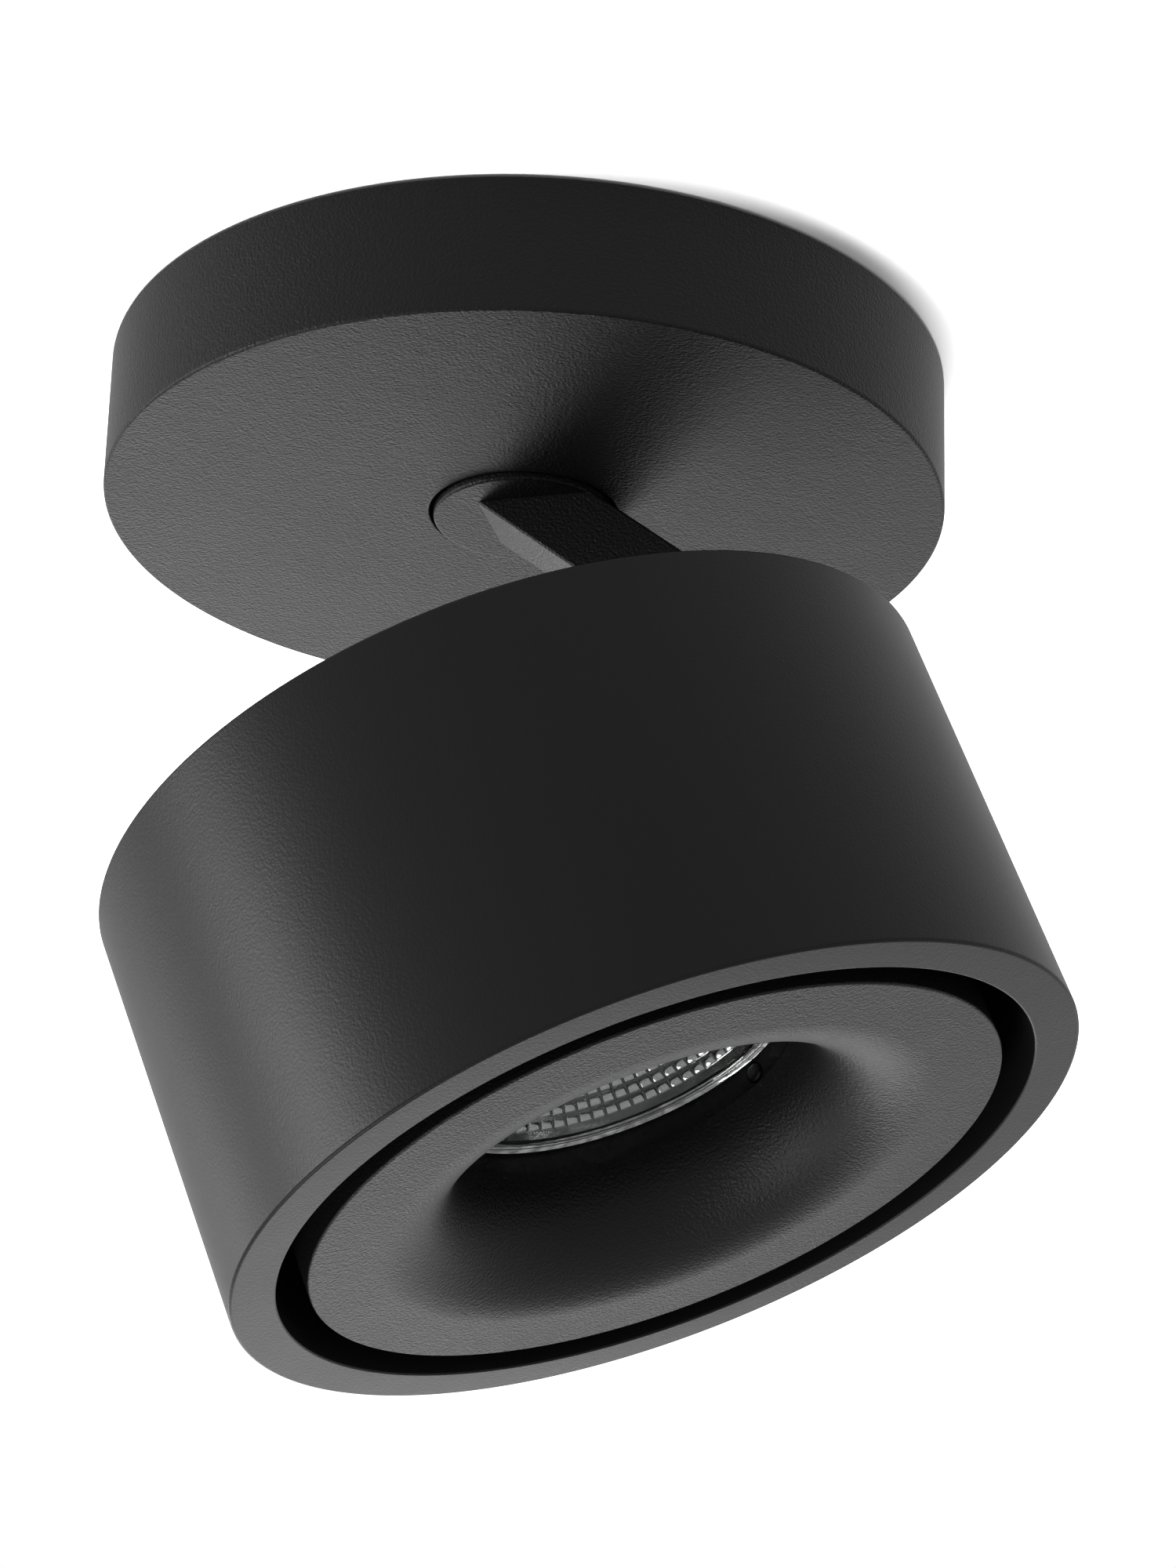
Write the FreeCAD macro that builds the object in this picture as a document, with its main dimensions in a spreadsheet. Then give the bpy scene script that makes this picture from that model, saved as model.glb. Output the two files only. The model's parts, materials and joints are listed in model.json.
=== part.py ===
import FreeCAD, Part
import math
import os
import re
import Sketcher
from FreeCAD import Vector

# A black ceiling spot with one head. A round canopy hides the driver and the terminals, an arm swivels in it,
# and a round head tilts on the arm's end. All sizes are in millimetres.
# The origin is the centre of the ceiling plane, +Z points up to the ceiling, the arm leans towards +X,
# and the tilt axis runs along Y. The head's pieces are drawn upright and then hung at the tilt they rest at.

SIZES = {
    # Fits that many pieces share
    "clearance": 0.3,
    "running_clearance": 0.05,
    "overrun": 1,
    # Bracket on the ceiling
    "bracket_gap": 7.8,
    "bracket_thickness": 1.5,
    "fixing_pitch": 60,
    "fixing_slot_width": 4.2,
    "fixing_slot_length": 9,
    "entry_inset": 18,
    "entry_radius": 7,
    "grommet_bore": 4,
    "grommet_lip": 2,
    "grommet_lip_thickness": 1,
    "tab_width": 12,
    "tab_drop": 11,
    "tab_gap": 1.5,
    "lock_drop": 7.5,
    "hook_width": 6,
    "hook_height": 2.4,
    # Canopy
    "canopy_radius": 50,
    "canopy_height": 16.8,
    "canopy_wall": 2.2,
    "canopy_floor": 3,
    "canopy_edge": 0.4,
    "swivel_boss_radius": 15,
    "swivel_boss_height": 2.5,
    "lock_screw_radius": 1.5,
    "stop_radius": 1,
    "stop_place": 13,
    "stop_depth": 2,
    "stop_reach": 1.4,
    # Terminals, earth point, cable clamp and the leads' level
    "terminal_pitch": 8,
    "terminal_poles": 3,
    "terminal_width": 15,
    "terminal_height": 9.5,
    "terminal_place": 31,
    "terminal_hole": 1.6,
    "terminal_screw_radius": 1.8,
    "terminal_screw_spacing": 9,
    "terminal_screw_recess": 0.7,
    "lead_radius": 0.9,
    "lead_level": 4.3,
    "lead_spacing": 2.5,
    "lead_lane": 18.5,
    "lead_stub": 3.5,
    "bend_share": 0.45,
    "earth_place": 26,
    "earth_side": 14,
    "earth_boss_radius": 3.5,
    "earth_screw_radius": 2,
    "earth_head_radius": 3.5,
    "earth_head_height": 2.2,
    "earth_screw_depth": 4,
    "lug_radius": 4,
    "lug_thickness": 0.8,
    "lug_barrel_radius": 1.3,
    "lug_barrel_length": 6,
    "clamp_side": 30.5,
    "clamp_length": 15,
    "clamp_width": 5,
    "clamp_thickness": 2,
    "clamp_lift": 5,
    "clamp_spacing": 10,
    "clamp_post_radius": 2.1,
    "small_screw_radius": 1.2,
    "small_head_radius": 2.2,
    "small_head_height": 1.4,
    "small_screw_depth": 2.2,
    # Driver
    "driver_length": 50,
    "driver_width": 19.5,
    "driver_front": 19.5,
    "driver_height": 8.5,
    "driver_lid": 1.5,
    "driver_lid_inset": 0.6,
    "driver_ear": 5,
    "driver_ear_width": 8,
    "driver_ear_thickness": 3,
    # Swivel, arm and its washers and nut
    "swivel_disc_radius": 10.8,
    "swivel_disc_gap": 0.5,
    "swivel_disc_thickness": 2.2,
    "swivel_disc_edge": 0.35,
    "swivel_disc_rise": 0.7,
    "slide_ring_thickness": 0.5,
    "shank_radius": 6,
    "shank_top": 6.5,
    "shank_flat": 5.1,
    "keyed_washer_radius": 9,
    "keyed_washer_thickness": 0.8,
    "stop_lug_reach": 14.4,
    "stop_lug_width": 2.4,
    "swivel_spring_thickness": 0.4,
    "swivel_spring_rise": 0.3,
    "swivel_nut_across": 17,
    "swivel_nut_height": 2.8,
    "arm_root": 2,
    "arm_lean": 38.7,
    "arm_width": 11.4,
    "arm_thickness": 8.85,
    "lead_bore": 2,
    "cord_radius": 1.1,
    "cord_join": 9.5,
    "cord_rise": 3.4,
    "cord_driver_place": 12,
    "cord_driver_drop": 6.5,
    # Tilt hinge
    "hinge_drop": 30.11,
    "hinge_depth": 7.5,
    "rest_tilt": 21.36,
    "largest_tilt": 70,
    "hinge_thread_radius": 1.5,
    "hinge_thread_length": 2.6,
    "hinge_shoulder_radius": 2,
    "hinge_head_radius": 3.2,
    "hinge_head_height": 1.8,
    "hinge_socket_radius": 1.2,
    "hinge_socket_depth": 1.1,
    "friction_washer_radius": 3.6,
    "friction_washer_thickness": 0.5,
    "hinge_spring_radius": 3.4,
    "hinge_spring_thickness": 0.4,
    "hinge_spring_rise": 0.3,
    "ear_thickness": 1.5,
    "ear_radius": 3.7,
    "ear_start": 29,
    "slot_clearance": 0.35,
    "slot_depth": 10,
    "bracket_plate_start": 17,
    "bracket_plate_end": 33,
    "bracket_plate_half_width": 12.5,
    "bracket_screw_place": 25,
    # Head housing
    "head_radius": 50,
    "head_length": 50.4,
    "head_wall": 5.4,
    "head_back": 3.2,
    "head_edge": 0.4,
    # Heat sink
    "sink_screw_circle": 34,
    "sink_boss_radius": 3.5,
    "sink_top": 8,
    "sink_ring_back": 15,
    "sink_front": 18.5,
    "sink_core_radius": 28,
    "sink_hollow_radius": 25,
    "led_seat": 12,
    "fin_top": 4.2,
    "fin_thickness": 1.6,
    "fin_pitch": 5,
    "fin_count": 7,
    "fin_start": 18,
    "fin_end": 15.5,
    "cord_level": 13.2,
    "cord_start": 36.5,
    # Light source
    "pad_thickness": 0.3,
    "board_side": 19,
    "board_thickness": 1.5,
    "emitter_radius": 6,
    "emitter_thickness": 0.5,
    "holder_radius": 21,
    "holder_front": 16.4,
    "holder_opening": 7.5,
    "holder_mouth": 10,
    "holder_screw_place": 16,
    # Reflector, lens and barrel
    "reflector_entry": 8,
    "reflector_exit": 20.1,
    "reflector_flange": 1,
    "reflector_wall": 0.9,
    "reflector_facets": 76,
    "reflector_rows": 12,
    "lens_radius": 21.95,
    "lens_thickness": 2,
    "lens_rim_step": 0.15,
    "lens_recess": 16,
    "barrel_bore": 22.3,
    "barrel_wall": 1.9,
    "barrel_lap": 0.4,
    "barrel_foot_radius": 30,
    "barrel_foot_thickness": 2,
    "barrel_screw_circle": 27.5,
    "retainer_radius": 1.25,
    "retainer_proud": 0.45,
    "retainer_angle": 54,
    # Flared trim
    "trim_gap": 3.7,
    "trim_recess": 0.4,
    "trim_wall": 1.8,
    "trim_edge": 0.3,
    "throat_radius": 20.3,
    "trim_face": 8.2,
    "groove_depth": 0.4,
    "groove_half_width": 1.2,
    "groove_place": 26.5,
    "clip_width": 6,
    "clip_thickness": 0.6,
    "clip_foot_start": 30.6,
    "clip_leaf_gap": 0.9,
    "clip_bump_half": 2.5,
    "clip_proud": 1.1,
}

# Shares of the reflector's depth at which its rows of facets meet, from the light source to the lens.
ROW_SHARES = [row / SIZES["reflector_rows"] for row in range(SIZES["reflector_rows"] + 1)]

# Pieces that come in threes round the head.
THREE = 3
SIDES = (-1, 1)

# Places and sizes that follow from the driving ones.
FLOOR = "(canopy_floor - canopy_height)"
BOSS_TOP = f"({FLOOR} + swivel_boss_height)"
DISC_FACE = "(canopy_height + swivel_disc_rise)"
DISC_TOP = "(swivel_disc_thickness - canopy_height)"
SEAT = f"({DISC_TOP} + slide_ring_thickness)"
CANOPY_INSIDE = "(canopy_radius - canopy_wall)"
BRACKET_RADIUS = f"({CANOPY_INSIDE} - bracket_gap)"
ENTRY_PLACE = f"({BRACKET_RADIUS} - entry_inset)"
LEADS = f"({FLOOR} + lead_level)"
WASHER_TOP = f"({BOSS_TOP} + keyed_washer_thickness)"
NUT_LOW = f"({WASHER_TOP} + swivel_spring_rise + swivel_spring_thickness)"
DRIVER_SCREW_Y = "(driver_front + driver_ear_width)"
HINGE_X = "(arm_root + hinge_drop / tan(arm_lean))"
HINGE_Z = "(-canopy_height - hinge_drop)"
EAR_IN = "(arm_width / 2 + friction_washer_thickness)"
EAR_OUT = f"({EAR_IN} + ear_thickness)"
HINGE_HEAD = f"({EAR_OUT} + hinge_spring_rise + hinge_spring_thickness)"
SLOT_INNER = (f"({HINGE_X} - hinge_depth / tan(arm_lean) - arm_thickness / (2 * sin(arm_lean))"
              " - slot_clearance)")
HEAD_INSIDE = "(head_radius - head_wall)"
TRIM_RADIUS = f"({HEAD_INSIDE} - trim_gap)"
SKIRT_INSIDE = f"({TRIM_RADIUS} - trim_wall)"
FLARE_RADIUS = f"({TRIM_RADIUS} - trim_face - throat_radius)"
CLIP_LEAF = f"({SKIRT_INSIDE} - clip_leaf_gap)"
BOARD_BACK = "(led_seat + pad_thickness)"
BOARD_FRONT = f"({BOARD_BACK} + board_thickness)"
TRIM_FACE = "(trim_recess - head_length)"
LENS_FRONT = "(head_length - trim_recess - lens_recess)"
LENS_BACK = f"({LENS_FRONT} - lens_thickness)"
REFLECTOR_DEPTH = f"({LENS_BACK} - reflector_flange - holder_front)"
BARREL_FRONT = f"(head_length - trim_recess - {FLARE_RADIUS} + barrel_lap)"
RETAINER_DEPTH = f"({LENS_FRONT} + retainer_radius)"

document = FreeCAD.newDocument("ceiling_spot")
sheet = document.addObject("Spreadsheet::Sheet", "sizes")
for row, (name, size) in enumerate(SIZES.items(), 1):
    sheet.set(f"A{row}", name)
    sheet.set(f"B{row}", str(size))
    sheet.setAlias(f"B{row}", name)
document.recompute()
pieces = []


def aliased(text):
    """The expression with each size looked up in the sheet."""
    return re.sub("[a-z_]+", lambda word: f"sizes.{word[0]}" if word[0] in SIZES else word[0], text)


def number(text):
    """The value that an expression has now."""
    return float(sheet.evalExpression(text))


def bind(thing, **texts):
    """Tie properties of a feature to expressions."""
    for name, text in texts.items():
        thing.setExpression(name, aliased(text))


def place(thing, x="0", y="0", z="0", turn="0", pitch="0", roll="0"):
    """Tie a feature's place, and its turns about Z, Y and X in degrees, to expressions."""
    bind(thing, Placement=f"placement(vector({x}; {y}; {z}); rotation({turn}; {pitch}; {roll}))")


def origin_of(body, role):
    """One of the body's own planes or axes."""
    return next(item for item in body.Origin.OriginFeatures if item.Role == role)


def hang(thing, turn="0"):
    """Hang a piece that is drawn upright, its origin at the middle of the head's back, at the resting tilt.

    turn is how far the piece is first turned about the head's own axis.
    """
    along = f"{HINGE_X} * (1 - cos(rest_tilt)) - hinge_depth * sin(rest_tilt)"
    down = f"{HINGE_Z} - {HINGE_X} * sin(rest_tilt) + hinge_depth * cos(rest_tilt)"
    turns = f"rotation(0; -rest_tilt; 0) * rotation({turn}; 0; 0)"
    bind(thing, Placement=f"placement(vector({along}; 0; {down}); {turns})")


def piece(label, on_head=False):
    """A new body that is one kind of piece of the lamp."""
    body = document.addObject("PartDesign::Body", label)
    body.Label = label
    if on_head:
        hang(body)
    pieces.append(body)
    return body


def solid(body, kind, cut=False):
    """A new round, boxed or other basic feature, added to the body or cut from it."""
    side = "Subtractive" if cut else "Additive"
    return body.newObject(f"PartDesign::{side}{kind}", f"{body.Name}_{kind.lower()}")


def upright(body, radius, low, high, x="0", y="0", cut=False):
    """A round bar between two heights."""
    feature = solid(body, "Cylinder", cut)
    bind(feature, Radius=radius, Height=f"({high}) - ({low})")
    place(feature, x, y, low)
    return feature


def taper(body, low_radius, high_radius, low, high, x="0", y="0", cut=False):
    """A cone between two heights."""
    feature = solid(body, "Cone", cut)
    bind(feature, Radius1=low_radius, Radius2=high_radius, Height=f"({high}) - ({low})")
    place(feature, x, y, low)
    return feature


def lying(body, radius, length, x="0", y="0", z="0", turn="0", cut=False):
    """A round bar that starts at a point and runs level, away from it at an angle from +X."""
    feature = solid(body, "Cylinder", cut)
    bind(feature, Radius=radius, Height=length)
    place(feature, x, y, z, turn=turn, pitch="90")
    return feature


def block(body, x, y, z, cut=False):
    """A box between two limits along each axis, given in either order."""
    feature = solid(body, "Box", cut)
    x, y, z = (sorted(limits, key=number) for limits in (x, y, z))
    for side, (low, high) in {"Length": x, "Width": y, "Height": z}.items():
        bind(feature, **{side: f"({high}) - ({low})"})
    place(feature, x[0], y[0], z[0])
    return feature


def outline(body, corners):
    """A closed sketch in the XZ plane. A corner may name an arc's radius and the side its centre is on."""
    sketch = body.newObject("Sketcher::SketchObject", f"{body.Name}_outline")
    sketch.AttachmentSupport = (origin_of(body, "XZ_Plane"), [""])
    sketch.MapMode = "FlatFace"
    points = [Vector(number(corner[0]), number(corner[1]), 0) for corner in corners]
    ends = []
    for index, corner in enumerate(corners):
        start, end = points[index], points[(index + 1) % len(points)]
        if len(corner) == 2:
            sketch.addGeometry(Part.LineSegment(start, end))
            ends.append((1, 2))
            continue
        half, radius = (end - start) / 2, number(corner[2])
        side = 1 if corner[3] == "left" else -1
        rise = math.sqrt(radius ** 2 - half.Length ** 2) * side
        centre = start + half + Vector(-half.y, half.x, 0).normalize() * rise
        first, last = (start, end) if side > 0 else (end, start)
        angles = [math.atan2(point.y - centre.y, point.x - centre.x) for point in (first, last)]
        sketch.addGeometry(Part.ArcOfCircle(Part.Circle(centre, Vector(0, 0, 1), radius), *angles))
        ends.append((1, 2) if side > 0 else (2, 1))
    for index, corner in enumerate(corners):
        after = (index + 1) % len(corners)
        sketch.addConstraint(Sketcher.Constraint("Coincident", index, ends[index][1], after, ends[after][0]))
        rules = [("DistanceX", corner[0], points[index].x), ("DistanceY", corner[1], points[index].y)]
        for kind, text, value in rules:
            rule = sketch.addConstraint(Sketcher.Constraint(kind, -1, 1, index, ends[index][0], value))
            sketch.setExpression(f"Constraints[{rule}]", aliased(text))
        if len(corner) > 2:
            rule = sketch.addConstraint(Sketcher.Constraint("Radius", index, number(corner[2])))
            sketch.setExpression(f"Constraints[{rule}]", aliased(corner[2]))
    return sketch


def turned(body, corners, cut=False):
    """An outline of radius and height, turned about the body's upright axis."""
    sketch = outline(body, corners)
    kind = "Groove" if cut else "Revolution"
    feature = body.newObject(f"PartDesign::{kind}", f"{body.Name}_{kind.lower()}")
    feature.Profile = sketch
    feature.ReferenceAxis = (sketch, ["V_Axis"])
    feature.Angle = 360
    return feature


def pressed(body, corners, width):
    """An outline given a width, half to each side of its plane."""
    feature = body.newObject("PartDesign::Pad", f"{body.Name}_pad")
    feature.Profile = outline(body, corners)
    feature.SideType = "Symmetric"
    bind(feature, Length=width)
    return feature


def around(body, feature, count):
    """A polar pattern of one feature about the upright axis."""
    pattern = body.newObject("PartDesign::PolarPattern", f"{body.Name}_pattern")
    pattern.Originals = [feature]
    pattern.Axis = (origin_of(body, "Z_Axis"), [""])
    pattern.Angle = 360
    pattern.Occurrences = count
    body.Tip = pattern


def spread(circle, first="0", count=THREE):
    """Places spread evenly on a circle, each with its angle, as expressions."""
    angles = [f"({first} + {turn} * 360 / {count})" for turn in range(count)]
    return [(f"({circle}) * cos({angle})", f"({circle}) * sin({angle})", angle) for angle in angles]


def screw(body, x, y, seat, way, radius, head_radius, head_height, length):
    """A cap screw whose head sits on a level seat. way is 1 for a head above it and -1 for one below."""
    level = sorted([seat, f"({seat}) + {head_height} * {way}"], key=number)
    head = upright(body, head_radius, *level, x, y)
    level = sorted([seat, f"({seat}) - {length} * {way}"], key=number)
    return [head, upright(body, radius, *level, x, y)]


# Ceiling bracket


def mounting_bracket():
    """A flat disc with two slots, the cable entry and two tabs that hold the canopy."""
    body = piece("mounting_bracket")
    low = "-bracket_thickness"
    tab_out = f"({CANOPY_INSIDE} - tab_gap)"
    upright(body, BRACKET_RADIUS, low, "0")
    half = "tab_width / 2"
    for side in SIDES:
        out, edge = f"{side} * {tab_out}", f"{side} * ({tab_out} - bracket_thickness)"
        block(body, (f"-{half}", half), (f"{side} * ({BRACKET_RADIUS} - tab_width)", out), (low, "0"))
        block(body, (f"-{half}", half), (edge, out), ("-tab_drop", "0"))
    reach = "(fixing_slot_length - fixing_slot_width) / 2"
    depth = (f"{low} - overrun", "overrun")
    half = "fixing_slot_width / 2"
    for side in SIDES:
        ends = [f"{side} * fixing_pitch / 2 + {end} * {reach}" for end in SIDES]
        for end in ends:
            upright(body, half, *depth, end, "0", cut=True)
        block(body, ends, (f"-{half}", half), depth, cut=True)
    upright(body, "entry_radius", *depth, f"-{ENTRY_PLACE}", f"-{ENTRY_PLACE}", cut=True)
    lying(body, "lock_screw_radius + running_clearance", "canopy_radius", z="-lock_drop", turn="90", cut=True)
    half = "(hook_width / 2 + clearance)"
    rise = "(hook_height / 2 + clearance)"
    window = (f"-lock_drop - {rise}", f"-lock_drop + {rise}")
    block(body, (f"-{half}", half), ("-canopy_radius", f"-{BRACKET_RADIUS}"), window, cut=True)


def bracket_grommet():
    """A rubber ring that lines the cable entry."""
    body = piece("bracket_grommet")
    corner = f"-{ENTRY_PLACE}"
    lip = ("-bracket_thickness - grommet_lip_thickness", "-bracket_thickness")
    upright(body, "entry_radius", "-bracket_thickness", "0", corner, corner)
    upright(body, "entry_radius + grommet_lip", *lip, corner, corner)
    upright(body, "grommet_bore", f"{lip[0]} - overrun", "overrun", corner, corner, cut=True)


# Canopy and what it holds


def canopy():
    """A shallow cup with a seat for the swivel disc and a bearing boss behind it."""
    body = piece("canopy")
    seat_radius = "swivel_disc_radius + swivel_disc_gap"
    hole = "shank_radius + running_clearance"
    turned(body, [
        ("canopy_radius", "0"),
        ("canopy_radius", "canopy_edge - canopy_height", "canopy_edge", "right"),
        ("canopy_radius - canopy_edge", "-canopy_height"),
        (seat_radius, "-canopy_height"),
        (seat_radius, SEAT),
        (hole, SEAT),
        (hole, BOSS_TOP),
        ("swivel_boss_radius", BOSS_TOP),
        ("swivel_boss_radius", FLOOR),
        (CANOPY_INSIDE, FLOOR),
        (CANOPY_INSIDE, "0"),
    ])
    for side in SIDES:
        x = f"{side} * clamp_spacing / 2 - {ENTRY_PLACE}"
        upright(body, "clamp_post_radius", FLOOR, f"{FLOOR} + clamp_lift", x, "-clamp_side")
        top = f"{FLOOR} + clamp_lift"
        upright(body, "small_screw_radius", f"{top} - small_screw_depth", f"{top} + overrun", x, "-clamp_side",
                cut=True)
    earth_top = f"{LEADS} - lug_thickness / 2"
    upright(body, "earth_boss_radius", FLOOR, earth_top, "earth_place", "-earth_side")
    upright(body, "earth_screw_radius", f"{earth_top} - earth_screw_depth + lug_thickness", earth_top,
            "earth_place", "-earth_side", cut=True)
    half = "hook_width / 2"
    level = ("-lock_drop - hook_height / 2", "-lock_drop + hook_height / 2")
    inner = f"tab_gap + 2 * bracket_thickness - {CANOPY_INSIDE}"
    block(body, (f"-{half}", half), (f"-{CANOPY_INSIDE} - canopy_wall / 2", inner), level)
    upright(body, "stop_radius", f"{BOSS_TOP} - stop_depth", f"{BOSS_TOP} + overrun", "stop_place", cut=True)
    lying(body, "lock_screw_radius + running_clearance", "canopy_radius", z="-lock_drop", turn="90", cut=True)
    depth = "(small_screw_depth - overrun)"
    for side in SIDES:
        upright(body, "small_screw_radius", f"{FLOOR} - {depth}", f"{FLOOR} + overrun",
                f"{side} * (driver_length + driver_ear) / 2", DRIVER_SCREW_Y, cut=True)


def lock_screw():
    """A grub screw through the canopy's wall into the bracket's tab, with a hexagon socket."""
    body = piece("lock_screw")
    start = f"({CANOPY_INSIDE} - tab_gap - 2 * bracket_thickness)"
    end = "(canopy_radius - canopy_edge)"
    lying(body, "lock_screw_radius", f"{end} - {start}", y=start, z="-lock_drop", turn="90")
    socket = solid(body, "Prism", cut=True)
    bind(socket, Circumradius="lock_screw_radius / 2", Height="lock_screw_radius + overrun")
    place(socket, y=f"{end} - lock_screw_radius", z="-lock_drop", turn="90", pitch="90")


def stop_pin():
    """The pin that the swivel's lug meets at both ends of its turn."""
    upright(piece("stop_pin"), "stop_radius", f"{BOSS_TOP} - stop_depth", f"{BOSS_TOP} + stop_reach", "stop_place")


def slide_ring():
    """The flat ring that the swivel disc slides on."""
    body = piece("slide_ring")
    upright(body, "swivel_disc_radius", DISC_TOP, SEAT)
    upright(body, "shank_radius + clearance", f"{DISC_TOP} - overrun", f"{SEAT} + overrun", cut=True)


def pole_places():
    """Where the terminal block's poles lie along X."""
    return [f"({pole} - (terminal_poles - 1) / 2) * terminal_pitch" for pole in range(SIZES["terminal_poles"])]


def terminal_block():
    """Three poles, each with a wire hole right through and two screw wells from above."""
    body = piece("terminal_block")
    half = "terminal_pitch * terminal_poles / 2"
    sides = ("-terminal_place - terminal_width / 2", "terminal_width / 2 - terminal_place")
    block(body, (f"-{half}", half), sides, (FLOOR, f"{FLOOR} + terminal_height"))
    for x in pole_places():
        lying(body, "terminal_hole", "terminal_width + 2 * overrun", x, f"{sides[0]} - overrun", LEADS,
              turn="90", cut=True)
        for side in SIDES:
            upright(body, "terminal_screw_radius + running_clearance", LEADS,
                    f"{FLOOR} + terminal_height + overrun", x,
                    f"{side} * terminal_screw_spacing / 2 - terminal_place", cut=True)


def terminal_screws():
    """Six slotted screws that press on the wires."""
    body = piece("terminal_screws")
    top = f"{FLOOR} + terminal_height - terminal_screw_recess"
    for x in pole_places():
        for side in SIDES:
            upright(body, "terminal_screw_radius", f"{LEADS} + lead_radius", top, x,
                    f"{side} * terminal_screw_spacing / 2 - terminal_place")


def cable_clamp():
    """A bar that holds the supply cable down on two posts, arched over the cable."""
    body = piece("cable_clamp")
    low = f"({FLOOR} + clamp_lift)"
    x = (f"-{ENTRY_PLACE} - clamp_length / 2", f"clamp_length / 2 - {ENTRY_PLACE}")
    y = ("-clamp_side - clamp_width / 2", "clamp_width / 2 - clamp_side")
    block(body, x, y, (low, f"{low} + clamp_thickness"))
    lying(body, "clamp_thickness", "clamp_width + 2 * overrun", f"-{ENTRY_PLACE}", f"{y[0]} - overrun",
          f"{low} - clamp_thickness / 2", turn="90", cut=True)
    for side in SIDES:
        upright(body, "small_screw_radius + running_clearance", f"{low} - overrun",
                f"{low} + clamp_thickness + overrun", f"{side} * clamp_spacing / 2 - {ENTRY_PLACE}",
                "-clamp_side", cut=True)


def clamp_screws():
    """Two screws for the cable clamp."""
    body = piece("clamp_screws")
    seat = f"({FLOOR} + clamp_lift + clamp_thickness)"
    for side in SIDES:
        screw(body, f"{side} * clamp_spacing / 2 - {ENTRY_PLACE}", "-clamp_side", seat, 1, "small_screw_radius",
              "small_head_radius", "small_head_height", "(clamp_thickness + small_screw_depth)")


def earth_lug():
    """A ring terminal with its crimped barrel."""
    body = piece("earth_lug")
    low = f"({LEADS} - lug_thickness / 2)"
    high = f"({LEADS} + lug_thickness / 2)"
    upright(body, "lug_radius", low, high, "earth_place", "-earth_side")
    start = "earth_place - lug_radius - lug_barrel_length"
    lying(body, "lug_barrel_radius", "lug_barrel_length + (lug_radius - earth_head_radius) / 2", start,
          "-earth_side", LEADS)
    upright(body, "earth_screw_radius + running_clearance", f"{low} - overrun", f"{high} + overrun",
            "earth_place", "-earth_side", cut=True)


def earth_screw():
    """The screw that holds the ring terminal on the canopy."""
    body = piece("earth_screw")
    seat = f"({LEADS} + lug_thickness / 2)"
    screw(body, "earth_place", "-earth_side", seat, 1, "earth_screw_radius", "earth_head_radius",
          "earth_head_height", "earth_screw_depth")


def driver_case():
    """The slim driver's case, with a screw ear at each end."""
    body = piece("driver_case")
    half = "driver_length / 2"
    depth = ("driver_front", "driver_front + driver_width")
    block(body, (f"-{half}", half), depth, (FLOOR, f"{FLOOR} + driver_height"))
    ear_y = (f"{DRIVER_SCREW_Y} - driver_ear_width / 2", f"{DRIVER_SCREW_Y} + driver_ear_width / 2")
    for side in SIDES:
        ends = (f"{side} * {half}", f"{side} * ({half} + driver_ear)")
        block(body, ends, ear_y, (FLOOR, f"{FLOOR} + driver_ear_thickness"))
        upright(body, "small_screw_radius + running_clearance", f"{FLOOR} - overrun",
                f"{FLOOR} + driver_ear_thickness + overrun", f"{side} * ({half} + driver_ear / 2)",
                DRIVER_SCREW_Y, cut=True)


def driver_lid():
    """The driver's flat lid, set in a little from the case's walls."""
    body = piece("driver_lid")
    half = "(driver_length / 2 - driver_lid_inset)"
    low = f"({FLOOR} + driver_height)"
    depth = ("driver_front + driver_lid_inset", "driver_front + driver_width - driver_lid_inset")
    block(body, (f"-{half}", half), depth, (low, f"{low} + driver_lid"))


def driver_screws():
    """Two screws that hold the driver down on the canopy's floor."""
    body = piece("driver_screws")
    for side in SIDES:
        screw(body, f"{side} * (driver_length + driver_ear) / 2", DRIVER_SCREW_Y,
              f"({FLOOR} + driver_ear_thickness)", 1, "small_screw_radius", "small_head_radius",
              "small_head_height", "(driver_ear_thickness + small_screw_depth - overrun)")


# Swivel and arm


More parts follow.
